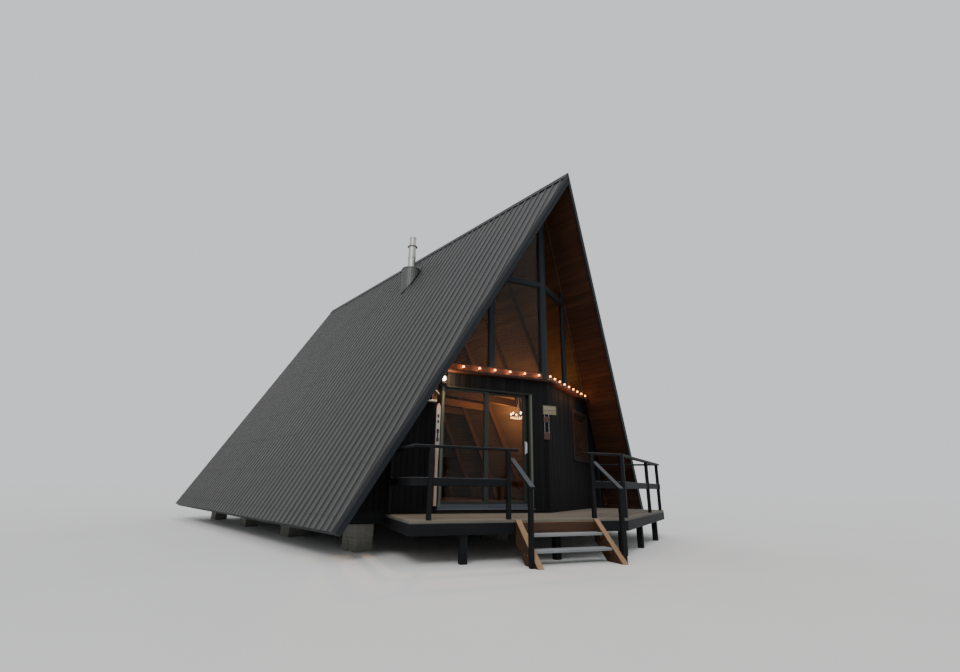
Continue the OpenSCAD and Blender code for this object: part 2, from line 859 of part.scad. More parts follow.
module birdhouse() {
    shelf_t = 26;
    shelf_out = 110;
    shelf_side = 45;
    body_w = 100;
    body_h = 158;
    roof_half = 80;
    roof_rise = 75;
    roof_t = 14;
    apex = body_h + body_w / 2 * roof_rise / roof_half;
    eave = apex - roof_rise;
    color("rosybrown") on_left() translate([door_s + door_w + birdhouse_gap, 0, floor_z + birdhouse_z]) rotate([90, 0, 0]) {
        translate([shelf_side - birdhouse_w / 2, 0, 0]) cube([birdhouse_w, shelf_t, shelf_out]);
        linear_extrude(body_w)
            polygon([[-body_w / 2, 0], [body_w / 2, 0], [body_w / 2, body_h], [0, apex], [-body_w / 2, body_h]]);
        linear_extrude(shelf_out) polygon([[0, apex + roof_t], [roof_half, eave + roof_t], [roof_half, eave],
            [0, apex], [-roof_half, eave], [-roof_half, eave + roof_t]]);
    }
}

// A bulb on its stem, over the ledge
module bulb() {
    stem_r = 8;
    translate([0, 0, sill_z]) cylinder(r = stem_r, h = bulb_up);
    translate([0, 0, sill_z + bulb_up]) sphere(r = bulb_r);
}

module light_string() {
    cable = 8;
    middle = ledge_out - 16;
    color("orange") {
        prow_bar(string_l, string_l, middle - cable / 2, middle + cable / 2, sill_z, sill_z + cable);
        at_vertex() translate(concat(tip(middle), 0)) bulb();
        on_left() for (s = [bulb_s:bulb_gap_left:string_l - bulb_r]) translate([s, -middle, 0]) bulb();
        on_right() for (s = [bulb_s:bulb_gap_right:string_l - bulb_r]) translate([s, -middle, 0]) bulb();
    }
}

// A pair of skis, one on the other, flat against the wall
module skis() {
    ski_t = 18;
    s = door_s + door_w + 16;
    color("gainsboro") on_left() for (i = [0, 1])
        block(s, s + ski_w, i * ski_t, (i + 1) * ski_t, floor_z + ski_low, floor_z + ski_low + ski_l);
}

module chandelier() {
    rod_r = 8;
    ring_h = 40;
    color("orange") at_vertex() translate([chandelier_x, rafter_y(0) + 1.5 * rafter_t, floor_z + chandelier_z]) {
        cylinder(r = chandelier_r, h = ring_h);
        cylinder(r = rod_r, h = tie_z - chandelier_z);
    }
}

piers();
floor_plate();  // floor
flue_hole() mirror([1, 0, 0]) roof_deck_half();  // roof_deck_left
roof_deck_half();  // roof_deck_right
flue_hole() mirror([1, 0, 0]) roof_metal_half();  // roof_metal_left
roof_metal_half();  // roof_metal_right
ridge_cap();
rake_color() mirror([1, 0, 0]) front_rake_half();  // front_rake_left
rake_color() front_rake_half();  // front_rake_right
rake_color() mirror([1, 0, 0]) back_rake_half();  // back_rake_left
rake_color() back_rake_half();  // back_rake_right
eave_boards();
ridge_beam();
rafters();
collar_ties();
front_wall_left();
front_wall_over_door();
front_wall_corner();
front_wall_right();
centre_post();
ledge();
gable_sills();
gable_bars();
gable_glass();
door_frame();
door_fixed_panel();
door_fixed_glass();
door_slider();
door_slider_glass();
door_handle();
window_frames();
window_panes();
back_wall();
mirror([1, 0, 0]) deck_boards_half();  // deck_boards_left
deck_boards_half();  // deck_boards_right
deck_rim();
deck_joists();
deck_posts();
rail_left();
rail_right();
side_rails();
stair_stringers();
stair_treads();
stair_riser();
handrails();
flue_pipe();
flue_cap();
flue_flashing();
wall_lamp();
house_sign();
birdhouse();
light_string();
skis();
chandelier();
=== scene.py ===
# Looks of the a-frame cabin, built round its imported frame. Metres, +Z up, the front looks to -Y.
import random
from math import atan2, ceil, cos, pi, radians, sin, sqrt, tan, tau

import bmesh
import bpy
from mathutils import Matrix, Vector


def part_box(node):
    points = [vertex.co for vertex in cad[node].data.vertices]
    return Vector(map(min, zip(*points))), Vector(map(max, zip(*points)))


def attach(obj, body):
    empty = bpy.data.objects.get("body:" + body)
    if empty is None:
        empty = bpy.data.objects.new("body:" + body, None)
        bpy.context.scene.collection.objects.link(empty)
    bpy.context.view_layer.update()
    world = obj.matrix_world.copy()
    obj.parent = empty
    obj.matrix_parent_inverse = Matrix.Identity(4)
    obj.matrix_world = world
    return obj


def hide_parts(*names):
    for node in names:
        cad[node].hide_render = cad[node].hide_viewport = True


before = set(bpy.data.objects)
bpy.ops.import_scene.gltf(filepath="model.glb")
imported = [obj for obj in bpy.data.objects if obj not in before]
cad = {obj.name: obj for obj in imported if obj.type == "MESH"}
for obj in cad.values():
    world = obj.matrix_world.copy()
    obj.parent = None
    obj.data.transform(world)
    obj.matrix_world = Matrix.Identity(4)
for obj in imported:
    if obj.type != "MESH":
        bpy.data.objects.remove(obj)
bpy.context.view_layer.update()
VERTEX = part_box("centre_post")[0].y

# Sizes of the cabin, as in its source
RIDGE = 7.372
EAVE_HALF = 3.953
EAVE = 0.397
RIDGE_OUT = 0.762
EAVE_BACK = 0.415
BACK_OUT = 0.6
RIB_H = 0.019
RIB_PITCH = 0.203
METAL_D = 0.025
ROOF_D = 0.12
TRIM = 0.038
CAP_WING = 0.16
FLOOR = 0.61
FLOOR_T = 0.2
LENGTH = 10.0
PROW = radians(18.9)
WALL_T = 0.14
POST_HALF = 0.096
LEDGE = FLOOR + 2.32
LEDGE_OUT = 0.104
LEDGE_T = 0.038
SILL = LEDGE + LEDGE_T
GLASS_Z = SILL + 0.14
MULLION = 1.12
MULLION_W = 0.115
TRANSOM = FLOOR + 4.341
TRANSOM_H = 0.101
GLASS_IN = 0.04
GLASS_T = 0.012
DOOR_S = 0.346
DOOR_W = 1.803
DOOR_H = 2.06
JAMB = 0.07
FAR_JAMB = 0.04
HEAD = 0.025
SILL_H = 0.035
FRAME_OUT = 0.012
PANEL_T = 0.038
STILE = 0.075
FAR_STILE = 0.04
RAIL = 0.09
TOP_RAIL = 0.032
WINDOW_S = 1.5
WINDOW_W = 0.92
WINDOW_H = 1.0
WINDOW_Z = FLOOR + 0.95
LOFT_Z = FLOOR + 3.0
FRAME_W = 0.05
DECK = 0.553
DECK_OUT = 1.465
DECK_S = 2.985
BOARD = 0.038
STAIR_S = 0.049
STAIR_W = 1.414
RISE = 0.18
GOING = 0.203
TREAD = 0.038
STRINGER = 0.09
FLUE_X = -0.555
FLUE = Vector((FLUE_X, VERTEX + 4.29, 0.0))
FLUE_R = 0.102
BOOT_R = 0.25
BOOT_H = 0.29

SLOPE = atan2(RIDGE - EAVE, EAVE_HALF)
SLOPE_LENGTH = (RIDGE - EAVE) / sin(SLOPE)
RAKE = atan2(RIDGE_OUT + EAVE_BACK, EAVE_HALF)
BACK = VERTEX + LENGTH

# Of the looks alone: a gap that keeps faces apart, the walls' ends, the bulbs' places, the door's panels
OFF = 0.0005
WALL_END = 3.6
BACK_HALF = 3.8
CORD_HALF = 2.34
FIRST_BULB = 0.22
LEFT, BEHIND, RIGHT = -1, 0, 1
SIDES = ((LEFT, "left"), (RIGHT, "right"))
SLIDER_GAP = 0.006
SLIDER_FACE = -0.066
FIXED_FACE = -0.022
BULB_RUNS = ((LEFT, 0.311, 7), (RIGHT, 0.285, 8))


# Frames: each turns (along, out, up) or (down, along, out) into the cabin's own directions
def frame_from(x, y, z, origin):
    return Matrix.Translation(origin) @ Matrix((x, y, z)).transposed().to_4x4()


def wall_frame(side):
    if side == BEHIND:
        return Matrix.Translation((0, BACK, 0))
    c, s = cos(PROW), sin(PROW)
    return frame_from((side * c, s, 0), (side * s, -c, 0), (0, 0, 1), (0, VERTEX, 0))


def slope_frame(side):
    c, s = cos(SLOPE), sin(SLOPE)
    return frame_from((side * c, 0, -s), (0, 1, 0), (side * s, 0, c), (0, VERTEX, RIDGE))


def rake_frame(side):
    along = Vector((side * EAVE_HALF, RIDGE_OUT + EAVE_BACK, EAVE - RIDGE)).normalized()
    front = Vector((side * sin(RAKE), -cos(RAKE), 0))
    up = along.cross(front) * -side
    return frame_from(along, front, up, (0, VERTEX - RIDGE_OUT, RIDGE))


# Planes for trimming: what lies on the normal's side is cut away
def roof_plane(side, depth):
    point = Vector((0, 0, RIDGE - depth / cos(SLOPE)))
    return point, Vector((side * sin(SLOPE), 0, cos(SLOPE)))


def rake_plane(side, inset):
    point = Vector((0, VERTEX - RIDGE_OUT + inset / cos(RAKE), 0))
    return point, Vector((side * sin(RAKE), -cos(RAKE), 0))


def middle_plane(side, gap=0.0):
    return Vector((side * gap, 0, 0)), Vector((-side, 0, 0))


def flipped(plane):
    return plane[0], -plane[1]


LEFT_WALL = wall_frame(LEFT)
POST_CUT = (Vector((0, 0, LEDGE + 0.01)), Vector((0, 0, 1)))


def edges_of(verts):
    return list({e for v in verts for e in v.link_edges})


def faces_of(verts):
    return list({f for v in verts for f in v.link_faces})


def verts_in(geom):
    return [v for v in geom if isinstance(v, bmesh.types.BMVert)]


def add(name, data):
    made = bpy.data.objects.new(name, data)
    bpy.context.scene.collection.objects.link(made)
    return made


class Shape:
    # A mesh that grows board by board; each board has its own grain map and tone
    def __init__(self, seed, lay=Matrix()):
        self.bm = bmesh.new()
        self.grain = self.bm.loops.layers.uv.new("grain")
        self.tone = self.bm.faces.layers.float.new("tone")
        self.dice = random.Random(seed)
        self.frame = lay

    def settle(self, verts, along, matrix=Matrix()):
        # Gives a new part its grain and tone where it was made, and then lays it in its place
        faces = faces_of(verts)
        shift = Vector((self.dice.uniform(0, 40), self.dice.uniform(0, 40)))
        tone = self.dice.random()
        for face in faces:
            face.normal_update()
            facing = max(range(3), key=lambda i: abs(face.normal[i]))
            first = along if facing != along else (along + 1) % 3
            second = 3 - first - facing
            face[self.tone] = tone
            for loop in face.loops:
                loop[self.grain].uv = Vector((loop.vert.co[first], loop.vert.co[second])) + shift
        matrix = self.frame @ matrix
        bmesh.ops.transform(self.bm, matrix=matrix, verts=list(verts))
        if matrix.determinant() < 0:
            bmesh.ops.reverse_faces(self.bm, faces=faces)
        return list(verts)

    def fresh(self, old, gap):
        # The vertices made since the old ones, merged where they lie within a gap
        verts = [v for v in self.bm.verts if v not in old]
        bmesh.ops.remove_doubles(self.bm, verts=verts, dist=gap)
        return [v for v in verts if v.is_valid]

    def soften(self, verts, edge, segments=1, least=0.5):
        sharp = [e for e in edges_of(verts) if len(e.link_faces) == 2 and e.calc_face_angle(0) > least]
        kept = set(verts)
        made = bmesh.ops.bevel(self.bm, geom=sharp, offset=edge, segments=segments, profile=0.5,
                               affect="EDGES", material=-1, clamp_overlap=True)["verts"]
        return [v for v in kept | set(made) if v.is_valid]

    def block(self, low, high, along, edge=0.0, segments=1):
        low, high = Vector(low), Vector(high)
        place = Matrix.Translation((low + high) / 2) @ Matrix.Diagonal((*(high - low), 1))
        verts = bmesh.ops.create_cube(self.bm, size=1, matrix=place)["verts"]
        if edge:
            verts = self.soften(verts, edge, segments)
        return self.settle(verts, along)

    def border(self, rect, near, far, width, edge=0.0, across=0):
        # Two uprights inside a rectangle (s0, s1, z0, z1), with a low and a high rail between them
        s0, s1, z0, z1 = rect
        for a, b in ((s0, s0 + width), (s1 - width, s1)):
            self.block((a, near, z0), (b, far, z1), 2, edge)
        for low, high in ((z0, z0 + width), (z1 - width, z1)):
            self.block((s0 + width, near, low), (s1 - width, far, high), across, edge)

    def rod(self, start, end, radius, far_radius=None, sides=24, edge=0.0):
        start, end = Vector(start), Vector(end)
        turn = (end - start).to_track_quat("Z", "Y").to_matrix().to_4x4()
        far_radius = radius if far_radius is None else far_radius
        verts = bmesh.ops.create_cone(self.bm, cap_ends=True, segments=sides, radius1=radius,
                                      radius2=far_radius, depth=(end - start).length)["verts"]
        if edge:
            verts = self.soften(verts, edge, 2, 0.9)
        return self.settle(verts, 2, Matrix.Translation((start + end) / 2) @ turn)

    def ball(self, centre, radius, squash, rings, sides):
        verts = bmesh.ops.create_uvsphere(self.bm, u_segments=sides, v_segments=rings, radius=radius)["verts"]
        self.settle(verts, 2, Matrix.Translation(centre) @ Matrix.Diagonal((1, 1, squash, 1)))

    def turned(self, outline, centre, axis=(0, 0, 1), sides=32):
        # Spins an outline round an axis; it runs radius, height, radius and so on, in millimetres
        start = [self.bm.verts.new((r / 1000, 0, z / 1000)) for r, z in zip(outline[::2], outline[1::2])]
        edges = [self.bm.edges.new(pair) for pair in zip(start, start[1:])]
        old = set(self.bm.verts) - set(start)
        bmesh.ops.spin(self.bm, geom=start + edges, cent=(0, 0, 0), axis=(0, 0, 1), angle=tau,
                       steps=sides, use_merge=True, dvec=(0, 0, 0))
        verts = self.fresh(old, 1e-6)
        bmesh.ops.recalc_face_normals(self.bm, faces=faces_of(verts))
        turn = Vector(axis).to_track_quat("Z", "Y").to_matrix().to_4x4()
        self.settle(verts, 2, Matrix.Translation(centre) @ turn)

    def prism(self, outline, depth, along, edge):
        # An outline of (along, up) points on the wall, drawn out from it
        corners = [self.bm.verts.new((s, 0, z)) for s, z in outline]
        face = self.bm.faces.new(corners)
        top = verts_in(bmesh.ops.extrude_face_region(self.bm, geom=[face])["geom"])
        bmesh.ops.translate(self.bm, verts=top, vec=(0, depth, 0))
        verts = corners + top
        bmesh.ops.recalc_face_normals(self.bm, faces=faces_of(verts))
        self.settle(self.soften(verts, edge), along)

    def take(self, node, along, edge, segments=1):
        # A merged copy of a CAD node, its edges softened, with a grain for each of its timbers
        old = set(self.bm.verts)
        self.bm.from_mesh(cad[node].data)
        verts = self.fresh(old, 2e-5)
        bmesh.ops.transform(self.bm, matrix=self.frame.inverted(), verts=verts)
        if self.frame.determinant() < 0:
            bmesh.ops.reverse_faces(self.bm, faces=faces_of(verts))
        bmesh.ops.dissolve_limit(self.bm, angle_limit=0.02, verts=verts, edges=edges_of(verts))
        left = set(self.soften([v for v in verts if v.is_valid], edge, segments))
        while left:
            # The order comes from the timbers' places, so that each run gives them the same tones
            island, front = set(), [min(left, key=lambda v: tuple(round(c, 4) for c in v.co))]
            while front:
                vert = front.pop()
                if vert not in island:
                    island.add(vert)
                    front += [e.other_vert(vert) for e in vert.link_edges]
            left -= island
            self.settle(island, along)

    def repeat(self, verts, steps):
        # Copies a part by each of the steps given
        geom = list(verts) + edges_of(verts) + faces_of(verts)
        for step in steps:
            new = bmesh.ops.duplicate(self.bm, geom=geom)["geom"]
            bmesh.ops.translate(self.bm, verts=verts_in(new), vec=step)

    def cable(self, points, radius):
        # A round cable along a smooth run of points
        data = bpy.data.curves.new("run", "CURVE")
        data.dimensions = "3D"
        data.bevel_depth = radius
        data.bevel_resolution = 1
        data.use_fill_caps = True
        spline = data.splines.new("POLY")
        spline.points.add(len(points) - 1)
        for spot, point in zip(spline.points, points):
            spot.co = (*point, 1)
        holder = bpy.data.objects.new("run", data)
        mesh = bpy.data.meshes.new_from_object(holder)
        old = set(self.bm.verts)
        self.bm.from_mesh(mesh)
        bpy.data.objects.remove(holder)
        bpy.data.curves.remove(data)
        bpy.data.meshes.remove(mesh)
        self.settle(self.fresh(old, 1e-6), 0)

    def trim(self, plane, old=()):
        # Cuts away what lies beyond a plane, and closes what it opened; old parts are left alone
        verts = [v for v in self.bm.verts if v not in old]
        geom = verts + edges_of(verts) + faces_of(verts)
        cut = bmesh.ops.bisect_plane(self.bm, geom=geom, dist=1e-6, plane_co=plane[0], plane_no=plane[1],
                                     clear_outer=True)["geom_cut"]
        edges = [e for e in cut if isinstance(e, bmesh.types.BMEdge)]
        for face in bmesh.ops.holes_fill(self.bm, edges=edges, sides=0)["faces"]:
            beside = [f for e in face.edges for f in e.link_faces if f is not face]
            if beside:
                face[self.tone] = beside[0][self.tone]
            for loop in face.loops:
                loop[self.grain].uv = (loop.vert.co.z, loop.vert.co.x + loop.vert.co.y)

    def under_roof(self, side, old=()):
        # Trims a part of the wall under its slope, or under both at the back
        for roof_side in ((side,) if side else (LEFT, RIGHT)):
            self.trim(roof_plane(roof_side, ROOF_D), old)

    def piece(self, name, finish, body="cabin", slot=None, nodes="", smooth=False):
        self.bm.normal_update()
        sky = self.bm.faces.layers.float.new("sky")
        for face in self.bm.faces:
            face[sky] = max(0.0, face.normal.z)
            face.smooth = smooth
        mesh = bpy.data.meshes.new(name)
        self.bm.to_mesh(mesh)
        self.bm.free()
        made = add(name, mesh)
        mesh.materials.append(finish)
        if smooth:
            mesh.set_sharp_from_angle(angle=radians(35))
        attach(made, body)
        if nodes:
            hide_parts(*nodes.split())


def shapes(lay, *seeds):
    return [Shape(seed, lay) for seed in seeds]


def sums(operation, turned=False):
    # An operator for Value, or its form for a number on the left
    def run(self, other):
        return self.maths(operation, *((other, self) if turned else (self, other)))
    return run


# Materials: a wrapped socket, so that sums on values add their own Math nodes
class Value:
    def __init__(self, finish, socket):
        self.finish = finish
        self.socket = socket

    def maths(self, operation, *values):
        return self.finish.node("Math", dict(enumerate(values)), operation=operation)

    __add__ = sums("ADD")
    __radd__ = sums("ADD", True)
    __sub__ = sums("SUBTRACT")
    __rsub__ = sums("SUBTRACT", True)
    __mul__ = sums("MULTIPLY")

    def over(self, level):
        return self.maths("GREATER_THAN", self, level)

    def positive(self):
        return self.maths("ABSOLUTE", self)

    def wrap(self, size):
        return self.maths("PINGPONG", self, size)

    def held(self):
        return self.maths("MAXIMUM", self.maths("MINIMUM", self, 1.0), 0.0)


class Finish:
    def __init__(self, name):
        self.material = bpy.data.materials.new(name)
        self.material.use_nodes = True
        self.material["slot"] = name
        self.tree = self.material.node_tree
        self.shader = self.tree.nodes["Principled BSDF"]

    def put(self, socket, value):
        if isinstance(value, Value):
            self.tree.links.new(value.socket, socket)
        elif isinstance(value, tuple) and len(socket.default_value) == 4 and len(value) == 3:
            socket.default_value = (*value, 1.0)
        else:
            socket.default_value = value

    def node(self, kind, inputs=None, output=0, **settings):
        made = self.tree.nodes.new("ShaderNode" + kind)
        for name, value in settings.items():
            setattr(made, name, value)
        for name, value in (inputs or {}).items():
            self.put(made.inputs[name], value)
        return Value(self, made.outputs[output])

    def set(self, **inputs):
        for name, value in inputs.items():
            self.put(self.shader.inputs[name.replace("_", " ").title().replace("Ior", "IOR")], value)

    def place(self, scale=(1, 1, 1)):
        return self.node("Mapping", {"Vector": self.node("TexCoord", output="Object"), "Scale": scale})

    def on_grain(self, scale):
        return self.node("Mapping", {"Vector": self.node("UVMap", uv_map="grain"), "Scale": scale})

    def noise(self, place, scale, detail, roughness=0.55, distortion=0.0):
        return self.node("TexNoise", {"Vector": place, "Scale": scale, "Detail": detail,
                                      "Roughness": roughness, "Distortion": distortion})

    def mix(self, factor, first, second, blend="MIX"):
        return self.node("Mix", {0: factor, 6: first, 7: second}, 2, data_type="RGBA", blend_type=blend)

    def attribute(self, name):
        return self.node("Attribute", output="Fac", attribute_name=name)

    def axis(self, name):
        return self.node("SeparateXYZ", {"Vector": self.node("TexCoord", output="Object")}, name)

    def bump(self, height, strength, distance):
        return self.node("Bump", {"Height": height, "Strength": strength, "Distance": distance})


def wood(name, dark, light, rough, tone, relief, top_wear_and_sky_light=None, top_wear_and_sky_amount=0.0, shine=0.5, inside=None):
    # Sawn or planed boards: the grain runs along each board, tops can be paler, partly as wear and partly as
    # painted sky light, and boards that run on behind the walls have another colour in the room; the darker
    # colour outside is partly painted shade
    f = Finish(name)
    place = f.on_grain((0.9, 14, 1))
    across = f.on_grain((3.0, 90, 1))
    rings = f.noise(place, 1.0, 5.0, 0.6, 0.8)
    fibres = f.noise(across, 1.0, 3.0, 0.6)
    patches = f.noise(f.place(), 1.3, 3.0)
    grain = rings * 0.65 + fibres * 0.35
    shade = (grain * 1.5 - 0.3 + (patches - 0.5) * 0.4 + (f.attribute("tone") - 0.5) * tone * 2).held()
    colour = f.mix(shade, dark, light)
    # Boards in the room get the paler colour; the darker colour outside stands partly for painted shade under
    # the overhang
    if inside:
        past_front = (f.axis("Y") - VERTEX - f.axis("X").positive() * tan(PROW)).over(0.0)
        before_back = (BACK - f.axis("Y")).over(0.0)
        colour = f.mix(past_front * before_back, colour, f.mix(shade, *inside))
    # Paler tops: partly wear, partly painted sky light on the faces that look up
    if top_wear_and_sky_light:
        amount = (f.attribute("sky") * top_wear_and_sky_amount * (0.55 + rings * 0.9)).held()
        colour = f.mix(amount, colour, top_wear_and_sky_light)
    height = rings * 0.6 + fibres * 0.5
    f.set(Base_Color=colour, Roughness=(rough - 0.12 + fibres * 0.24).held(), Specular_IOR_Level=shine,
          Normal=f.bump(height, relief, 0.004))
    return f.material


def painted(name, colour, rough, metallic, mottle, foot=None):
    # Painted or coated metal: slight unevenness, dust in patches, fine orange peel; the foot can be bare
    f = Finish(name)
    cloud = f.noise(f.place(), 2.2, 5.0)
    fine = f.noise(f.place(), 160.0, 2.0)
    dull = tuple(c * (1 - mottle) for c in colour)
    bright = tuple(c * (1 + mottle) for c in colour)
    shown = f.mix(cloud, dull, bright)
    if foot:
        shown = f.mix(f.axis("Z").over(foot[0]), foot[1], shown)
    f.set(Base_Color=shown, Metallic=metallic, Roughness=(rough - 0.1 + cloud * 0.2).held(),
          Normal=f.bump(fine * 0.6 + cloud * 0.4, 0.06, 0.002))
    return f.material


def roof_metal():
    # Ribbed sheets: streaks down the slope, green bloom near the eaves, a painted highlight on the rib crowns
    # and a painted shadow line beside the ribs
    f = Finish("roof_metal")
    height = f.axis("Z")
    streaks = f.noise(f.place((0.6, 11.0, 0.35)), 1.0, 5.0, 0.6)
    fine = f.noise(f.place((3.0, 60.0, 1.2)), 1.0, 3.0)
    cloud = f.noise(f.place(), 0.9, 5.0, 0.6)
    low = (1.0 - height * 0.22).held()
    colour = f.mix((streaks * 1.3 - 0.15).held(), (0.024, 0.024, 0.0245), (0.058, 0.0575, 0.056))
    colour = f.mix(((cloud - 0.45) * 2.2 * low).held(), colour, (0.036, 0.046, 0.034))
    beside = (f.axis("Y") - VERTEX).wrap(RIB_PITCH / 2)
    # Painted highlight along the crowns of the ribs, and a painted shadow line in the pans beside them
    crown_highlight = (1.0 - beside * 50.0).held() * (0.4 + streaks)
    foot = (1.0 - (beside - 0.04).positive() * 45.0).held()
    colour = f.mix((crown_highlight * 0.7).held(), colour, (0.12, 0.122, 0.12))
    colour = f.mix(foot * 0.75, colour, (0.008, 0.008, 0.009))
    dents = f.noise(f.place((1.2, 4.5, 0.9)), 1.0, 2.0)
    f.set(Base_Color=colour, Metallic=0.35, Roughness=(0.36 + streaks * 0.16 + (fine - 0.5) * 0.12).held(),
          Normal=f.bump(dents * 0.8 + fine * 0.04, 0.35, 0.012))
    return f.material


def block_stone():
    # Concrete blocks: pitted faces, damp stains low down and moss on what faces up
    f = Finish("pier_blocks")
    coarse = f.noise(f.place(), 9.0, 6.0, 0.65)
    pits = f.noise(f.place(), 120.0, 3.0)
    damp = (1.0 - f.axis("Z") * 3.2 + (coarse - 0.5) * 1.2).held()
    colour = f.mix(coarse, (0.17, 0.17, 0.155), (0.34, 0.33, 0.3))
    colour = f.mix(damp * 0.75, colour, (0.085, 0.09, 0.07))
    moss = ((coarse - 0.42) * 4.0 * (0.25 + f.attribute("sky"))).held()
    colour = f.mix(moss, colour, (0.055, 0.09, 0.03))
    f.set(Base_Color=colour, Roughness=(0.82 + pits * 0.15).held(),
          Normal=f.bump(coarse * 0.7 + pits * 0.5, 0.6, 0.006))
    return f.material


def glass(name, tint):
    f = Finish(name)
    ripple = f.noise(f.place(), 1.6, 2.0)
    f.set(Base_Color=tint, Transmission_Weight=1.0, Roughness=0.02, IOR=1.2,
          Normal=f.bump(ripple, 0.02, 0.01))
    return f.material


def bright_metal(name, colour, rough, spangle=0.0):
    f = Finish(name)
    cloud = f.noise(f.place(), 5.0, 5.0)
    brush = f.noise(f.place((40, 40, 2)), 3.0, 3.0)
    base = f.mix(cloud, tuple(c * 0.75 for c in colour), colour)
    if spangle:
        cells = f.node("TexVoronoi", {"Vector": f.place(), "Scale": 60.0}, 1)
        base = f.mix(spangle, base, cells, "MULTIPLY")
    f.set(Base_Color=base, Metallic=1.0, Roughness=(rough - 0.1 + cloud * 0.2 + (brush - 0.5) * 0.1).held(),
          Normal=f.bump(brush, 0.08, 0.001))
    return f.material


def ski_finish(name, colour, low_colour):
    # Lacquered laminate with dark scuffs, and another colour from the binding down
    f = Finish(name)
    scuffs = f.noise(f.place((40, 40, 3)), 1.0, 5.0, 0.7)
    below = ((FLOOR + 1.02 - f.axis("Z")) * 12.0).held()
    colour = f.mix(((scuffs - 0.58) * 6.0).held(), f.mix(below, colour, low_colour), (0.06, 0.06, 0.065))
    f.set(Base_Color=colour, Roughness=(0.3 + scuffs * 0.3).held(), Coat_Weight=0.3,
          Normal=f.bump(scuffs, 0.1, 0.002))
    return f.material


def curtain(name):
    # Panes with a drawn brown curtain close behind them
    f = Finish(name)
    folds = f.noise(f.place((16, 16, 0.5)), 1.0, 2.0)
    f.set(Base_Color=f.mix(folds, (0.012, 0.008, 0.006), (0.048, 0.029, 0.02)), Roughness=0.1,
          Specular_IOR_Level=0.15, Normal=f.bump(folds, 0.1, 0.004))
    return f.material


def glow(name, colour, strength):
    f = Finish(name)
    f.set(Base_Color=(0.9, 0.8, 0.65), Roughness=0.25, Emission_Color=colour, Emission_Strength=strength)
    return f.material


ROOF_METAL = roof_metal()
EDGE_METAL = painted("edge_metal", (0.019, 0.021, 0.024), 0.5, 0.3, 0.2)
# The soffit boards are darker outside the walls partly as painted shade under the overhang; in the room they
# are paler
ROOF_BOARDS = wood("roof_boards", (0.018, 0.0085, 0.0055), (0.062, 0.029, 0.016), 0.66, 0.15, 0.3, shine=0.15,
                   inside=((0.046, 0.026, 0.014), (0.13, 0.075, 0.04)))
TRIM_PAINT = wood("trim_paint", (0.0075, 0.01, 0.013), (0.018, 0.023, 0.029), 0.62, 0.15, 0.15, shine=0.2)
FRAME_TIMBER = wood("frame_timber", (0.036, 0.016, 0.008), (0.092, 0.042, 0.02), 0.58, 0.2, 0.3, shine=0.3)
SIDING = wood("siding", (0.002, 0.0021, 0.0027), (0.0085, 0.0086, 0.01), 0.7, 0.3, 0.6, shine=0.12)
LINING = wood("siding_lining", (0.085, 0.038, 0.018), (0.2, 0.096, 0.046), 0.5, 0.3, 0.2, shine=0.3)
LEDGE_WOOD = wood("ledge_wood", (0.014, 0.0065, 0.0052), (0.04, 0.017, 0.013), 0.6, 0.2, 0.3, shine=0.2)
SILL_WOOD = wood("sill_wood", (0.042, 0.017, 0.011), (0.1, 0.041, 0.023), 0.6, 0.25, 0.3, shine=0.25)
DECK_WOOD = wood("deck_wood", (0.046, 0.041, 0.032), (0.145, 0.129, 0.102), 0.8, 0.45, 0.55,
                 (0.2, 0.185, 0.155), 0.4)
# The dark wood and the cedar get paler tops: partly wear, partly a painted highlight where they face the sky
DARK_WOOD = wood("dark_wood", (0.0035, 0.0038, 0.0045), (0.012, 0.013, 0.015), 0.62, 0.2, 0.35,
                 (0.15, 0.16, 0.175), 0.6, 0.12)
CEDAR = wood("cedar", (0.029, 0.0145, 0.008), (0.086, 0.043, 0.021), 0.62, 0.3, 0.35,
             (0.34, 0.215, 0.125), 1.0, 0.2)
TREAD_WOOD = wood("tread_wood", (0.1, 0.107, 0.113), (0.24, 0.255, 0.268), 0.78, 0.3, 0.45,
                  (0.31, 0.325, 0.34), 0.5)
WINDOW_WOOD = wood("window_wood", (0.009, 0.0065, 0.0052), (0.025, 0.0165, 0.0125),
                   0.62, 0.2, 0.25, shine=0.15)
FLOOR_WOOD = wood("floor_wood", (0.06, 0.03, 0.015), (0.17, 0.09, 0.045), 0.5, 0.4, 0.2, shine=0.3)
SIGN_WOOD = wood("sign_wood", (0.085, 0.075, 0.046), (0.23, 0.205, 0.135), 0.75, 0.3, 0.5)
HANGING_WOOD = wood("hanging_wood", (0.03, 0.015, 0.011), (0.08, 0.038, 0.026), 0.75, 0.3, 0.4)
BIRDHOUSE_WOOD = wood("birdhouse_wood", (0.04, 0.019, 0.013), (0.105, 0.05, 0.032), 0.75, 0.4, 0.4)
PALE_PAINT = wood("pale_paint", (0.26, 0.27, 0.25), (0.46, 0.47, 0.44), 0.6, 0.2, 0.2)
STRIP_PAINT = wood("strip_paint", (0.055, 0.062, 0.05), (0.125, 0.135, 0.11), 0.6, 0.2, 0.2, shine=0.25)
PIER_BLOCKS = block_stone()
DOOR_METAL = painted("door_metal", (0.009, 0.014, 0.01), 0.5, 0.2, 0.3,
                     (FLOOR + SILL_H + 0.05, (0.05, 0.058, 0.075)))
SILL_METAL = bright_metal("door_sill_metal", (0.13, 0.14, 0.17), 0.42)
STEEL = bright_metal("steel", (0.72, 0.72, 0.73), 0.25)
GALVANISED = bright_metal("galvanised", (0.62, 0.62, 0.6), 0.42, 0.25)
FLASHING = bright_metal("flashing_metal", (0.17, 0.17, 0.168), 0.5, 0.2)
GLASS = glass("glass", (0.88, 0.9, 0.88))
PANE = curtain("curtained_glass")
SKI = ski_finish("ski_laminate", (0.36, 0.37, 0.38), (0.27, 0.225, 0.185))
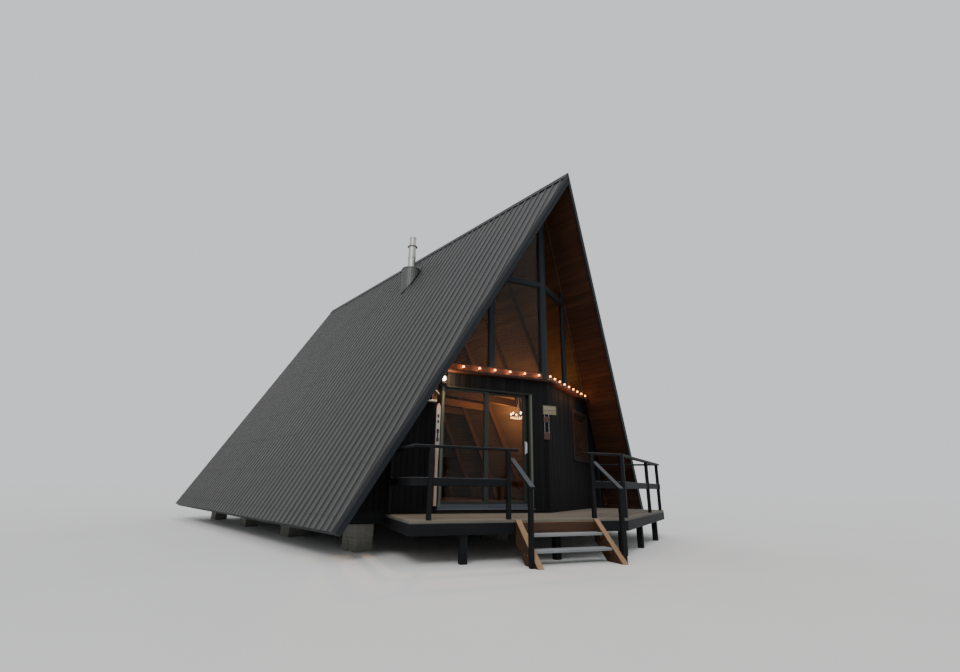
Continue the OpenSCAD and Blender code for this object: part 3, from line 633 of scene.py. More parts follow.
UNDER_SKI = ski_finish("ski_red", (0.16, 0.018, 0.014), (0.12, 0.022, 0.016))
SEAL = painted("black_seal", (0.012, 0.012, 0.012), 0.6, 0.0, 0.2)
BULB = glow("bulb_glass", (1.0, 0.4, 0.11), 7.0)
HANGING_BULB = glow("hanging_bulb", (1.0, 0.6, 0.28), 24.0)
# The crystal drops glow with painted light; they are no lamp
CRYSTAL_PAINTED_GLOW = glow("crystal", (1.0, 0.55, 0.22), 2.2)
LAMP = glow("lamp_glass", (1.0, 0.8, 0.54), 45.0)


def cut_round(rect, hole):
    # The parts of an upright board (s0, s1, z0, z1) that an opening leaves
    s0, s1, z0, z1 = rect
    h0, h1, low, high = hole
    if s1 <= h0 or s0 >= h1 or z1 <= low or z0 >= high:
        return [rect]
    middle = (max(s0, h0), min(s1, h1))
    parts = [(s0, h0, z0, z1), (h1, s1, z0, z1), (*middle, z0, low), (*middle, high, z1)]
    return [part for part in parts if part[0] < part[1] and part[2] < part[3]]


def cut_all(rect, holes):
    parts = [rect]
    for hole in holes:
        parts = [p for part in parts for p in cut_round(part, hole)]
    return parts


def wall(name, nodes, side, s0, s1, top, holes, seed):
    # Upright grooved boards outside, a core, and upright boards inside
    faces, inner = shapes(wall_frame(side), seed, seed + 1)
    for shape, width, near, far, edge in ((faces, 0.1, -0.022, 0.0, 0.005),
                                          (inner, 0.14, -WALL_T, 0.014 - WALL_T, 0.003)):
        for i in range(ceil((s1 - s0) / width)):
            board = (s0 + i * width + OFF, min(s0 + (i + 1) * width, s1) - OFF, FLOOR, top)
            for a, b, low, high in cut_all(board, holes):
                if b - a > 0.012:
                    shape.block((a, near, low), (b, far, high), 2, edge)
    for a, b, low, high in cut_all((s0, s1, FLOOR, top), holes):
        faces.block((a, 0.013 - WALL_T, low), (b, -0.021, high), 2)
    faces.under_roof(side)
    inner.under_roof(side)
    faces.piece(name, SIDING, nodes=nodes)
    inner.piece(name + "_lining", LINING, slot="siding")


def window_hole(s, z):
    return s, s + WINDOW_W, z, z + WINDOW_H


wall("siding_left", "front_wall_left front_wall_over_door front_wall_corner", LEFT,
     POST_HALF, WALL_END, LEDGE, [(DOOR_S, DOOR_S + DOOR_W, FLOOR, FLOOR + DOOR_H)], 11)
wall("siding_right", "front_wall_right", RIGHT,
     POST_HALF, WALL_END, LEDGE, [window_hole(WINDOW_S, WINDOW_Z)], 13)


def roof_lining(side, hand):
    # Grooved boards under the roof, parallel to the ridge, with the roof's core over them
    shape = Shape(22 + side, slope_frame(side))
    width, foot, back = 0.115, SLOPE_LENGTH - TRIM, LENGTH + BACK_OUT - TRIM
    for i in range(ceil(foot / width)):
        high = min((i + 1) * width, foot)
        shape.block((i * width + OFF, -RIDGE_OUT, -ROOF_D), (high - OFF, back, -ROOF_D + 0.022), 1, 0.005)
    shape.block((0, -RIDGE_OUT, -ROOF_D + 0.021), (foot, back, -METAL_D - 0.001), 1)
    shape.trim(middle_plane(side))
    shape.trim(rake_plane(side, TRIM))
    shape.piece("roof_lining_" + hand, ROOF_BOARDS, nodes="roof_deck_" + hand)


def timbers(name, nodes, finish, along, edge=0.004, lay=Matrix(), seed=31, plane=None, stands=True):
    # One piece of one or more CAD nodes
    shape = Shape(seed, lay)
    for node in nodes.split():
        shape.take(node, along, edge)
    if plane:
        shape.trim(plane)
    shape.piece(name, finish, nodes=nodes if stands else "")


def rake(side, hand):
    # The fascia board under the roof's edge, and the folded strip that covers the sheets' ends
    timbers("rake_board_" + hand, "front_rake_" + hand, TRIM_PAINT, 0, lay=rake_frame(side), seed=42 + side)
    strip = Shape(43 + side, rake_frame(side))
    length = Vector((EAVE_HALF, RIDGE_OUT + EAVE_BACK, RIDGE - EAVE)).length
    for y0, y1, z0, z1, edge in ((0.0, 0.002, -0.062, 0.003, 0.0), (0.002, 0.007, -0.062, -0.056, 0.002),
                                 (-0.055, 0.002, OFF, 0.003, 0.0)):
        strip.block((-0.2, y0, z0), (length, y1, z1), 0, edge)
    strip.trim(middle_plane(side))
    strip.piece(f"rake_board_{hand}_strip", EDGE_METAL, slot="roof_metal")


for side, hand in SIDES:
    roof_lining(side, hand)
for side, hand in SIDES:
    rake(side, hand)

# Under the ledge the centre post is stained like the siding, so it comes in two pieces
TIMBERS = (
    ("back_rake_boards", "back_rake_left back_rake_right", TRIM_PAINT, 2),
    ("eave_fascias", "eave_boards", TRIM_PAINT, 1),
    ("ridge_timber", "ridge_beam", FRAME_TIMBER, 1, 0.008),
    ("rafter_timbers", "rafters", FRAME_TIMBER, 2, 0.005),
    ("tie_timbers", "collar_ties", FRAME_TIMBER, 0, 0.005),
    ("post_timber", "centre_post", TRIM_PAINT, 2, 0.005, Matrix(), 31, flipped(POST_CUT)),
    ("ledge_boards", "ledge", LEDGE_WOOD, 0, 0.006),
    ("sill_boards", "gable_sills", SILL_WOOD, 0, 0.005),
    ("gable_timbers", "gable_bars", TRIM_PAINT, 2),
    ("deck_rims", "deck_rim", DARK_WOOD, 0),
    ("deck_joist_boards", "deck_joists", DARK_WOOD, 1, 0.003),
    ("deck_legs", "deck_posts", DARK_WOOD, 2, 0.005),
    ("railing_left", "rail_left", DARK_WOOD, 0, 0.005, LEFT_WALL),
    ("railing_right", "rail_right", DARK_WOOD, 0, 0.005, wall_frame(RIGHT)),
    ("railing_sides", "side_rails", DARK_WOOD, 1, 0.005),
    ("stair_sides", "stair_stringers", CEDAR, 1, 0.004, LEFT_WALL),
    ("stair_riser_board", "stair_riser", CEDAR, 0, 0.003, LEFT_WALL),
    ("stair_handrails", "handrails", DARK_WOOD, 1, 0.005, LEFT_WALL),
    ("post_foot", "centre_post", SIDING, 2, 0.005, Matrix(), 32, POST_CUT, False)
)
for row in TIMBERS:
    timbers(*row)


def deck(side, hand):
    # Boards along the wall with gaps between them, mitred on the vertex's line
    shape = Shape(52 + side, wall_frame(side))
    rows, half_gap = 10, 0.003
    step = DECK_OUT / rows
    for i in range(rows):
        near, far = i * step + half_gap, (i + 1) * step - half_gap
        shape.block((-0.7, near, DECK - BOARD), (DECK_S, far, DECK), 0, 0.004)
    shape.trim(middle_plane(side, 0.002))
    shape.piece("deck_floor_" + hand, DECK_WOOD, nodes="deck_boards_" + hand)


def floor_planks():
    # Planks over a dark frame, both cut to the roof and the prow
    top, body = shapes(Matrix.Translation((0, VERTEX, 0)), 55, 56)
    width = 0.14
    for i in range(-29, 29):
        top.block((i * width + 0.0006, 0, FLOOR - 0.022), ((i + 1) * width - 0.0006, LENGTH, FLOOR), 1, 0.002)
    body.block((-EAVE_HALF, 0, FLOOR - FLOOR_T), (EAVE_HALF, LENGTH, FLOOR - 0.0215), 1)
    for shape in (top, body):
        for side in (LEFT, RIGHT):
            shape.trim(roof_plane(side, ROOF_D))
            shape.trim((Vector((0, VERTEX, 0)), Vector((side * sin(PROW), -cos(PROW), 0))))
    top.piece("floor_planks", FLOOR_WOOD, nodes="floor")
    body.piece("floor_frame", DARK_WOOD, slot="floor_wood")


def base_boards():
    # A strip at the walls' foot, over the edge of the floor
    shape = Shape(105)
    for side, s0, s1 in ((LEFT, -0.01, DOOR_S - 0.016), (LEFT, DOOR_S + DOOR_W + 0.016, WALL_END),
                         (RIGHT, -0.01, WALL_END), (BEHIND, -BACK_HALF, BACK_HALF)):
        old = set(shape.bm.verts)
        shape.frame = wall_frame(side)
        shape.block((s0, OFF, FLOOR - 0.035), (s1, 0.012, FLOOR + 0.004), 0, 0.002)
        if side:
            shape.trim(middle_plane(side), old)
        shape.under_roof(side, old)
    shape.piece("base_boards", SIDING)


for side, hand in SIDES:
    deck(side, hand)
floor_planks()
wall("siding_back", "back_wall", BEHIND, -BACK_HALF, BACK_HALF, RIDGE,
     [window_hole(-WINDOW_W / 2, WINDOW_Z), window_hole(-WINDOW_W / 2, LOFT_Z)], 15)
base_boards()


def piers():
    # Two courses of blocks in each pier, over a core of mortar set back from their faces
    shape = Shape(61)
    top, half_joint = FLOOR - FLOOR_T, 0.004
    for x in (-3.01, 0.0, 3.01):
        for i in range(4):
            shape.frame = Matrix.Translation((x, VERTEX + 1.45 + i * 2.7, 0))
            shape.block((-0.142, -0.217, 0.0), (0.142, 0.217, top), 2)
            for low, high in ((-0.225, -half_joint), (half_joint, 0.225)):
                shape.block((-0.15, low, 0.0), (0.15, high, top / 2 - half_joint), 0, 0.007, 2)
            for low, high in ((-0.15, -half_joint), (half_joint, 0.15)):
                shape.block((low, -0.225, top / 2 + half_joint), (high, 0.225, top), 1, 0.007, 2)
    shape.piece("block_piers", PIER_BLOCKS, nodes="piers")


def stair_steps():
    # Two boards to each tread, on cleats screwed to the stringers, with a bolt head at each cleat
    boards, cleats, bolts = shapes(LEFT_WALL, 63, 64, 65)
    low, high = STAIR_S + STRINGER, STAIR_S + STAIR_W - STRINGER
    for i in (1, 2):
        top = DECK - i * RISE
        under = top - TREAD
        near = DECK_OUT + (i - 1) * GOING
        far = near + GOING
        for y0, y1 in ((near + 0.004, near + GOING / 2 - 0.003), (near + GOING / 2 + 0.003, far)):
            boards.block((low + 0.002, y0, under), (high - 0.002, y1, top), 0, 0.006, 2)
        for s, step in ((low, 1), (high, -1)):
            inner, outer = sorted((s, s + step * 0.035))
            cleats.block((inner, near + 0.02, under - 0.04), (outer, far - 0.02, under), 1, 0.003)
            side = s - step * STRINGER
            for out in (near + 0.06, far - 0.06):
                bolts.rod((side, out, under - 0.02), (side - step * 0.005, out, under - 0.02), 0.011, sides=6)
    boards.piece("stair_tread_boards", TREAD_WOOD, nodes="stair_treads")
    cleats.piece("stair_cleats", CEDAR)
    bolts.piece("stair_bolts", STEEL)


def ridge():
    # Folded cap with a hem along each wing, and dark closers in the pans under it
    cap, closers = shapes(Matrix(), 67, 68)
    y0, y1 = -RIDGE_OUT - 0.5, LENGTH + BACK_OUT
    wing = CAP_WING
    for side in (LEFT, RIGHT):
        old = set(cap.bm.verts)
        cap.frame = closers.frame = slope_frame(side)
        for x0, x1, z0, z1, edge in ((-0.02, wing, OFF, 0.003, 0.0),
                                     (wing - 0.014, wing + 0.001, 0.001, 0.0055, 0.002),
                                     (0.05, 0.062, 0.002, 0.0045, 0.001)):
            cap.block((x0, y0, z0), (x1, y1, z1), 1, edge)
        cap.trim(middle_plane(side), old)
        cap.trim(rake_plane(side, -0.001), old)
        for i in range(int(y1 / RIB_PITCH)):
            pan = i * RIB_PITCH
            closers.block((wing - 0.04, pan + 0.026, -RIB_H), (wing - 0.012, pan + RIB_PITCH - 0.026, 0), 1)
    cap.piece("ridge_cover", EDGE_METAL, slot="roof_metal", nodes="ridge_cap")
    closers.piece("ridge_closers", SEAL, slot="roof_metal")


def roof_screws(side, hand, seed):
    # Hexagon heads on washers, in rows over the battens
    shape = Shape(seed, slope_frame(side))
    first, batten, rib = 0.35, 0.83, 3 * RIB_PITCH
    start = shape.rod((first, rib, 0), (first, rib, 0.002), 0.01, sides=8)
    start += shape.rod((first, rib, 0.002), (first, rib, 0.007), 0.0055, sides=6)
    down = shape.frame.col[0].xyz
    shape.repeat(start, [down * batten * i for i in range(1, 10)])
    shape.repeat(shape.bm.verts, [Vector((0, i * RIB_PITCH, 0)) for i in range(1, 49)])
    shape.piece("roof_screws_" + hand, FLASHING, slot="roof_metal")


def gable_trims(side, hand, seed):
    # Square beads round the panes, and a board on the siding along the roof's slope
    beads, board = shapes(wall_frame(side), seed, seed + 4)
    bead, past = 0.016, MULLION + MULLION_W
    near, far = OFF - GLASS_IN, bead - GLASS_IN
    for s in (POST_HALF, MULLION - bead, past):
        beads.block((s, near, GLASS_Z), (s + bead, far, RIDGE), 2, 0.002)
    for z, s0, s1 in ((GLASS_Z, POST_HALF, MULLION), (TRANSOM - bead, POST_HALF, MULLION),
                      (TRANSOM + TRANSOM_H, POST_HALF, MULLION), (GLASS_Z, past, 3.2)):
        beads.block((s0, near, z), (s1, far, z + bead), 0, 0.002)
    beads.under_roof(side)
    old = set(beads.bm.verts)
    beads.block((POST_HALF, near, GLASS_Z), (3.3, far, RIDGE), 2)
    beads.under_roof(side, old)
    beads.trim(flipped(roof_plane(side, ROOF_D + 0.018)), old)
    beads.piece("gable_beads_" + hand, TRIM_PAINT)
    board.block((2.2, OFF, FLOOR), (3.7, 0.019, LEDGE), 2)
    board.under_roof(side)
    board.trim(flipped(roof_plane(side, ROOF_D + 0.09)))
    board.piece("slope_board_" + hand, SIDING)


def door():
    # Jambs, head and grooved sill, with a nosing over the floor's edge and pale strips on the jambs
    case, sill, seals, strips, edging, moving = shapes(LEFT_WALL, 73, 74, 75, 80, 86, 76)
    s0, s1 = DOOR_S, DOOR_S + DOOR_W
    in0, in1 = s0 + JAMB, s1 - FAR_JAMB
    top, sill_top = FLOOR + DOOR_H, FLOOR + SILL_H
    for a, b in ((s0, in0), (in1, s1)):
        case.block((a, -WALL_T, FLOOR + 0.001), (b, FRAME_OUT, top), 2, 0.003, 2)
    case.block((in0 - 0.001, -WALL_T, top - HEAD), (in1 + 0.001, FRAME_OUT, top), 0, 0.003, 2)
    for a, b in ((s0 + 0.002, s0 + 0.04), (in1 - 0.012, s1 - 0.014)):
        strips.block((a, FRAME_OUT - 0.001, sill_top), (b, FRAME_OUT + 0.004, top - 0.004), 2, 0.0015)
    strips.piece("door_strips", STRIP_PAINT, slot="door_metal")
    for out, low, edge in ((OFF, top + 0.001, 0.0), (0.026, top - 0.012, 0.001)):
        case.block((s0 - 0.02, out, low), (s1 + 0.02, 0.03, top + 0.004), 0, edge)
    case.piece("door_case", DOOR_METAL, nodes="door_frame")
    sill.block((in0, -WALL_T, FLOOR + 0.001), (in1, FRAME_OUT, sill_top), 0, 0.003)
    for out in (-0.017, -0.008, 0.001):
        sill.block((in0 + 0.01, out, sill_top), (in1 - 0.01, out + 0.003, sill_top + 0.002), 0)
    end0, end1 = s0 - 0.015, s1 + 0.015
    sill.block((end0, FRAME_OUT, FLOOR - 0.004), (end1, FRAME_OUT + 0.03, FLOOR + 0.016), 0, 0.004, 2)
    edging.block((end0, OFF, DECK + 0.001), (end1, 0.014, FLOOR - 0.005), 0, 0.001)
    edging.piece("floor_edging", WINDOW_WOOD, slot="floor_wood")
    sill.piece("door_sill", SILL_METAL, slot="door_metal")
    panel_w = (in1 - in0 + STILE) / 2
    high = top - HEAD
    seal_rings(seals, in1 - panel_w, in1, FIXED_FACE, sill_top, high, FAR_STILE)
    seals.piece("door_fixed_seals", SEAL, slot="door_metal")
    seal_rings(moving, in0 + SLIDER_GAP, in0 + panel_w, SLIDER_FACE,
               sill_top + SLIDER_GAP, high - SLIDER_GAP, STILE)
    moving.piece("door_slider_seals", SEAL, "sliding_panel", "door_metal")
    for node, name, body, seed in (("door_fixed_panel", "door_fixed_frame", "cabin", 77),
                                   ("door_slider", "door_slider_frame", "sliding_panel", 78)):
        panel = Shape(seed, LEFT_WALL)
        panel.take(node, 2, 0.003, 2)
        panel.piece(name, DOOR_METAL, body, nodes=node)


def seal_rings(shape, s0, s1, face, z0, z1, far_stile):
    # Black seals between a door panel's frame and its glass, on both faces
    pane = (s0 + STILE, s1 - far_stile, z0 + RAIL, z1 - TOP_RAIL)
    for near in (face - 0.013, face - PANEL_T + 0.004):
        shape.border(pane, near, near + 0.009, 0.007, across=2)


def door_pull():
    # A flat bar on two posts over a plate, and the thumb turn beside it
    shape = Shape(79, LEFT_WALL)
    s, face, z = DOOR_S + JAMB + SLIDER_GAP + STILE / 2, SLIDER_FACE, FLOOR + 1.065
    shape.block((s - 0.012, -0.026, z - 0.095), (s + 0.012, -0.012, z + 0.095), 2, 0.005, 3)
    for end in (z - 0.08, z + 0.08):
        shape.rod((s, face, end), (s, -0.024, end), 0.008, 0.0075, 20, 0.001)
        shape.rod((s, face, end), (s, -0.0635, end), 0.012, sides=20)
    shape.block((s - 0.0125, face, z - 0.115), (s + 0.0125, -0.0645, z + 0.115), 2, 0.0005)
    shape.rod((s - 0.026, face, z), (s - 0.026, -0.056, z), 0.009, 0.008, 20, 0.001)
    shape.block((s - 0.0285, -0.057, z - 0.011), (s - 0.0235, -0.049, z + 0.011), 2, 0.0015)
    shape.piece("door_pull", STEEL, "sliding_panel", nodes="door_handle", smooth=True)


def windows():
    # A frame with a sash inside it, casing boards on the siding and a sill that sheds water
    frames, trims = shapes(Matrix(), 81, 82)
    w, casing, lap = FRAME_W, 0.07, 0.006
    for side, x0, z0 in ((RIGHT, WINDOW_S, WINDOW_Z), (BEHIND, -WINDOW_W / 2, WINDOW_Z),
                         (BEHIND, -WINDOW_W / 2, LOFT_Z)):
        frames.frame = trims.frame = wall_frame(side)
        x1, z1 = x0 + WINDOW_W, z0 + WINDOW_H
        frames.border((x0, x1, z0, z1), -WALL_T, 0, w, 0.004)
        for near, far in ((-GLASS_IN, -0.018), (-0.074, -GLASS_IN - GLASS_T)):
            frames.border((x0 + w, x1 - w, z0 + w, z1 - w), near, far, 0.036, 0.003)
        for a, b in ((x0 - casing, x0 + lap), (x1 - lap, x1 + casing)):
            trims.block((a, OFF, z0 - 0.03), (b, 0.02, z1 + casing), 2, 0.003)
        trims.block((x0 + lap, OFF, z1 - lap), (x1 - lap, 0.02, z1 + casing), 0, 0.003)
        trims.block((x0 - 0.085, OFF, z0 - 0.035), (x1 + 0.085, 0.045, z0 + 0.004), 0, 0.004, 2)
    frames.piece("window_sashes", WINDOW_WOOD, nodes="window_frames")
    trims.piece("window_trims", WINDOW_WOOD)


def flue():
    # The pipe with its seam and clamp, its outlet, and the ribbed drum with its cone and flange on the roof
    pipe, cap, boot, flange = shapes(Matrix(), 83, 84, 85, 90)
    base = RIDGE + FLUE_X * tan(SLOPE)
    brim = FLUE + Vector((0, 0, RIDGE + 0.018))
    drum = FLUE + Vector((0, 0, base + BOOT_H))
    foot = (base - 0.42 - brim.z) * 1000
    pipe.turned((102, foot, 102, 0, 82, 0, 82, foot, 102, foot), brim)
    pipe.turned((102, 340, 106, 342, 106, 352, 109, 355, 106, 358, 106, 368, 102, 370), drum)
    seam = FLUE.y - FLUE_R
    pipe.block((FLUE_X - 0.006, seam - 0.002, base), (FLUE_X + 0.006, seam + 0.004, brim.z), 2)
    pipe.piece("flue_tube", GALVANISED, nodes="flue_pipe", smooth=True)
    cap.turned((104, -12, 138, 0, 140, 4, 137, 8, 100, 30, 87, 34, 87, 250, 95, 254, 95, 266, 87, 270,
                87, 296, 83, 300, 75, 294, 75, -12, 104, -12), brim)
    cap.piece("flue_outlet", GALVANISED, nodes="flue_cap", smooth=True)
    low, high, ribs = base - (BOOT_R + 0.06) * tan(SLOPE), drum.z - 0.03, 30
    boot.rod((*FLUE.xy, low), (*FLUE.xy, high), BOOT_R - 0.004, sides=48)
    for i in range(ribs):
        turn = i * tau / ribs
        spot = FLUE + Vector((cos(turn), sin(turn), 0)) * (BOOT_R - 0.005)
        boot.rod((*spot.xy, low), (*spot.xy, high), 0.007, sides=6)
    boot.turned((240, -35, 256, -32, 256, -6, 250, 0, 120, 52, 120, 58, 106, 62, 103, 62, 103, -35,
                 240, -35), drum, sides=48)
    boot.trim(flipped(roof_plane(LEFT, 0)))
    boot.piece("flue_boot", FLASHING, nodes="flue_flashing", smooth=True)
    flange.rod((*FLUE.xy, low), (*FLUE.xy, RIDGE), BOOT_R + 0.05, sides=48)
    flange.trim(flipped(roof_plane(LEFT, 0)))
    flange.trim(roof_plane(LEFT, -0.006))
    flange.piece("flue_flange", EDGE_METAL, slot="flashing_metal")


def wall_lamp():
    # A jar with a bulb under a lid, on an arm from a round plate
    metal, jar, bulb = shapes(LEFT_WALL, 87, 88, 89)
    s, out, z = DOOR_S + DOOR_W - 0.019, 0.078, FLOOR + 2.11
    metal.turned((0, 0, 40, 0, 40, 8, 30, 16, 12, 20, 0, 20), (s, 0.0, z), (0, 1, 0))
    arm = [(s, 0.01 + 0.068 * sin(i * pi / 16), z - 0.03 * (1 - cos(i * pi / 16))) for i in range(1, 9)]
    metal.cable([(s, 0.0, z)] + arm, 0.008)
    metal.turned((0, -34, 30, -34, 46, -20, 50, -12, 50, -6, 0, -6), (s, out, z))
    metal.turned((0, 158, 46, 158, 50, 150, 44, 166, 12, 172, 0, 173), (s, out, z))
    jar.turned((44, -8, 47, 20, 48, 80, 46, 140, 40, 156, 37, 154, 43, 138, 45, 80, 44, 20, 41, -6, 44, -8),
               (s, out, z))
    bulb.ball((s, out, z + 0.07), 0.03, 1.45, 12, 20)
    metal.piece("lamp_metal", SEAL, slot="lamp_glass", nodes="wall_lamp", smooth=True)
    jar.piece("lamp_jar", GLASS, slot="lamp_glass", smooth=True)
    bulb.piece("lamp_bulb", LAMP, smooth=True)


def house_sign():
    # A plate of two planks in a thin frame, with two boards hung under it on rods; all left bare
    plate, rods, hanging = shapes(LEFT_WALL, 91, 92, 102)
    s0, z0, width, height, rim = -0.18, FLOOR + 1.7, 0.29, 0.17, 0.012
    s1, z1 = s0 + width, z0 + height
    for low, high in ((0.002, height / 2 - 0.001), (height / 2 + 0.001, height - 0.002)):
        plate.block((s0 + 0.002, OFF, z0 + low), (s1 - 0.002, 0.016, z0 + high), 0, 0.003)
    for a, b, low, high, along in ((s0, s1, z0, z0 + rim, 0), (s0, s1, z1 - rim, z1, 0),
                                   (s0, s0 + rim, z0 + rim, z1 - rim, 2),
                                   (s1 - rim, s1, z0 + rim, z1 - rim, 2)):
        plate.block((a, 0.004, low), (b, 0.02, high), along, 0.002)
    for low, high in ((1.55, 1.66), (1.23, 1.37)):
        hanging.block((-0.03, OFF, FLOOR + low), (0.1, 0.018, FLOOR + high), 0, 0.005, 2)
    for s in (-0.01, 0.08):
        for low, high in ((1.655, 1.705), (1.365, 1.555)):
            rods.rod((s, 0.01, FLOOR + low), (s, 0.01, FLOOR + high), 0.003, sides=8)
        for z in (1.645, 1.565, 1.36):
            rods.ball((s, 0.019, FLOOR + z), 0.006, 1.0, 6, 10)
    plate.piece("sign_boards", SIGN_WOOD, nodes="house_sign")
    hanging.piece("hanging_boards", HANGING_WOOD, slot="sign_wood")
    rods.piece("sign_rods", STEEL, slot="sign_wood")


def birdhouse():
    # A small house on a shelf, with pale boards for its roof and shelf
    body, hole, pale = shapes(LEFT_WALL, 93, 94, 103)
    s, z, half = DOOR_S + DOOR_W + 0.151, FLOOR + 1.752, 0.048
    base, eave, apex = z + 0.026, z + 0.156, z + 0.158 + 0.05 * 75 / 80
    pale.block((s - 0.04, 0.0, z), (s + 0.13, 0.11, base), 0, 0.003, 2)
    body.prism([(s - half, base), (s + half, base), (s + half, eave), (s, apex - 0.004), (s - half, eave)],
               0.096, 2, 0.002)
    for end in (s - 0.084, s + 0.084):
        pale.prism([(s, apex + 0.014), (end, apex - 0.065), (end, apex - 0.079), (s, apex)], 0.112, 1, 0.002)
    hole.rod((s, 0.0955, z + 0.105), (s, 0.0968, z + 0.105), 0.017, sides=20)
    hole.rod((s, 0.095, z + 0.062), (s, 0.112, z + 0.062), 0.004, sides=10)
    body.piece("birdhouse_boards", BIRDHOUSE_WOOD, nodes="birdhouse")
    pale.piece("birdhouse_roof", PALE_PAINT, slot="birdhouse_wood")
    hole.piece("birdhouse_hole", SEAL, slot="birdhouse_wood")


def string_of_lights():
    # Bulbs that stand in dark sockets on the ledge, and the cable that is clipped down between them
    cable, bulbs = shapes(Matrix(), 95, 96)
    out, start, steps = LEDGE_OUT - 0.016, 0.02, 120

    def bulb(spot):
        cable.turned((0, 0, 12, 0, 12, 4, 8, 8, 8, 36, 12, 40, 13, 54, 0, 54), spot, sides=14)
        bulbs.turned((0, 53, 11, 55, 17, 62, 20, 72, 17.5, 82, 10, 90, 0, 92), spot, sides=16)

    for side, gap, count in BULB_RUNS:
        cable.frame = bulbs.frame = wall_frame(side)
        path = []
        for i in range(steps + 1):
            s = start + (CORD_HALF - start) * i / steps
            wave = sin((s - FIRST_BULB) * tau / gap)
            path.append((s, out + 0.003 * wave, SILL + 0.0045 + 0.003 * abs(wave)))
        cable.cable(path, 0.004)
        for i in range(count):
            bulb((FIRST_BULB + i * gap, out, SILL))
        for i in range(count - 1):
            s = FIRST_BULB + (i + 0.5) * gap
            cable.block((s - 0.006, out - 0.009, SILL), (s + 0.006, out + 0.009, SILL + 0.01), 0, 0.002)
    cable.frame = bulbs.frame = Matrix.Translation((0, VERTEX, 0))
    bulb((0, -out / cos(PROW), SILL))
    cable.piece("string_cable", SEAL, slot="bulb_glass", nodes="light_string", smooth=True)
    bulbs.piece("string_bulbs", BULB, smooth=True)


def ski(name, finish, s, out, seed, nodes):
    # A long board with a waist, and a tip that narrows and turns out from the wall
    shape = Shape(seed, LEFT_WALL)
    low, length, width = FLOOR + 0.06, 1.68, 0.072
    cube = Matrix.Translation((s, out, low + length / 2)) @ Matrix.Diagonal((width, 0.011, length, 1))
    verts = bmesh.ops.create_cube(shape.bm, size=1, matrix=cube)["verts"]
    upright = [e for e in edges_of(verts) if abs(e.verts[0].co.z - e.verts[1].co.z) > 1]
    bmesh.ops.subdivide_edges(shape.bm, edges=upright, cuts=32, use_grid_fill=True)
    for v in shape.bm.verts:
        t = (v.co.z - low) / length
        waist = 0.7 + 0.3 * min(1.0, max(0.0, (t - 0.42) / 0.16))
        point = 1.0 if t < 0.93 else sqrt(max(0.03, 1 - ((t - 0.93) / 0.07) ** 2))
        v.co.x = s + (v.co.x - s) * waist * point
        v.co.y += 0.012 * max(0.0, (t - 0.88) / 0.12) ** 2
    shape.settle(shape.soften(list(shape.bm.verts), 0.0015), 2)
    shape.piece(name, finish, slot="ski_laminate", nodes=nodes)


def skis():
    # A pale ski hung before a red one, with bindings and three dark marks under the tip
    middle = DOOR_S + DOOR_W + 0.016 + 0.0375
    s, face = middle - 0.006, 0.031
    ski("ski_behind", UNDER_SKI, middle + 0.003, 0.007, 97, "")
    ski("ski_boards", SKI, s, 0.026, 104, "skis")
    holders = Shape(98, LEFT_WALL)
    for half, low, high, deep, edge, segments in (
            (0.02, 1.09, 1.15, 0.016, 0.004, 2), (0.02, 1.23, 1.3, 0.013, 0.004, 2),
            (0.012, 1.15, 1.23, 0.005, 0.002, 1), (0.018, 1.4, 1.45, 0.0015, 0.0, 1),
            (0.018, 1.49, 1.55, 0.0015, 0.0, 1), (0.018, 1.6, 1.63, 0.0015, 0.0, 1)):
        holders.block((s - half, face, FLOOR + low), (s + half, face + deep, FLOOR + high), 2, edge, segments)
    holders.piece("ski_bindings", SEAL, slot="ski_laminate")


def chandelier():
    # Two rings and a stem, six arms with cups and bulbs, and three rows of drops that glow with painted light
    metal, bulbs, drops = shapes(Matrix(), 99, 100, 101)
    centre = Vector((1.05, VERTEX + 1.7 + 0.0675, FLOOR + 1.93))
    metal.turned((172, 6, 188, 2, 190, 10, 188, 18, 172, 14, 172, 6), centre, sides=40)
    metal.turned((0, -12, 22, -4, 30, 12, 14, 30, 8, 50, 8, 455, 30, 462, 40, 489, 0, 490), centre, sides=20)
    for i in range(6):
        side = Vector((cos(i * tau / 6), sin(i * tau / 6), 0))
        metal.cable([centre + side * (0.02 + 0.016 * k) + Vector((0, 0, 0.014 - 0.022 * sin(pi * k / 10)))
                     for k in range(11)], 0.004)
        spot = centre + side * 0.181
        metal.turned((0, 14, 18, 16, 20, 22, 8, 24, 8, 52, 0, 52), spot, sides=14)
        bulbs.turned((0, 50, 8, 54, 13, 68, 10, 86, 3, 100, 0, 102), spot, sides=14)
    for radius, count, z in ((0.18, 24, -0.012), (0.12, 16, -0.02), (0.07, 10, -0.03)):
        for i in range(count):
            turn = (i + 0.5) * tau / count
            spot = centre + Vector((cos(turn) * radius, sin(turn) * radius, z))
            drops.turned((0, -20, 7, -4, 4, 10, 0, 14), spot, sides=6)
    metal.turned((115, 4, 124, 4, 124, 10, 115, 10, 115, 4), centre)
    metal.piece("chandelier_arms", STEEL, nodes="chandelier", smooth=True)
    bulbs.piece("chandelier_bulbs", HANGING_BULB, slot="bulb_glass", smooth=True)
    drops.piece("chandelier_drops", CRYSTAL_PAINTED_GLOW, slot="glass")


piers()
stair_steps()
ridge()
for seed, (side, hand) in enumerate(SIDES, 69):
    roof_screws(side, hand, seed)
for seed, (side, hand) in enumerate(SIDES, 71):
    gable_trims(side, hand, seed)
door()
door_pull()
windows()
flue()
wall_lamp()
house_sign()
birdhouse()
string_of_lights()
skis()
chandelier()

for finish, nodes in ((ROOF_METAL, "roof_metal_left roof_metal_right"), (PANE, "window_panes"),
                      (GLASS, "gable_glass door_fixed_glass door_slider_glass")):
    for node in nodes.split():
        cad[node].data.materials.clear()
        cad[node].data.materials.append(finish)


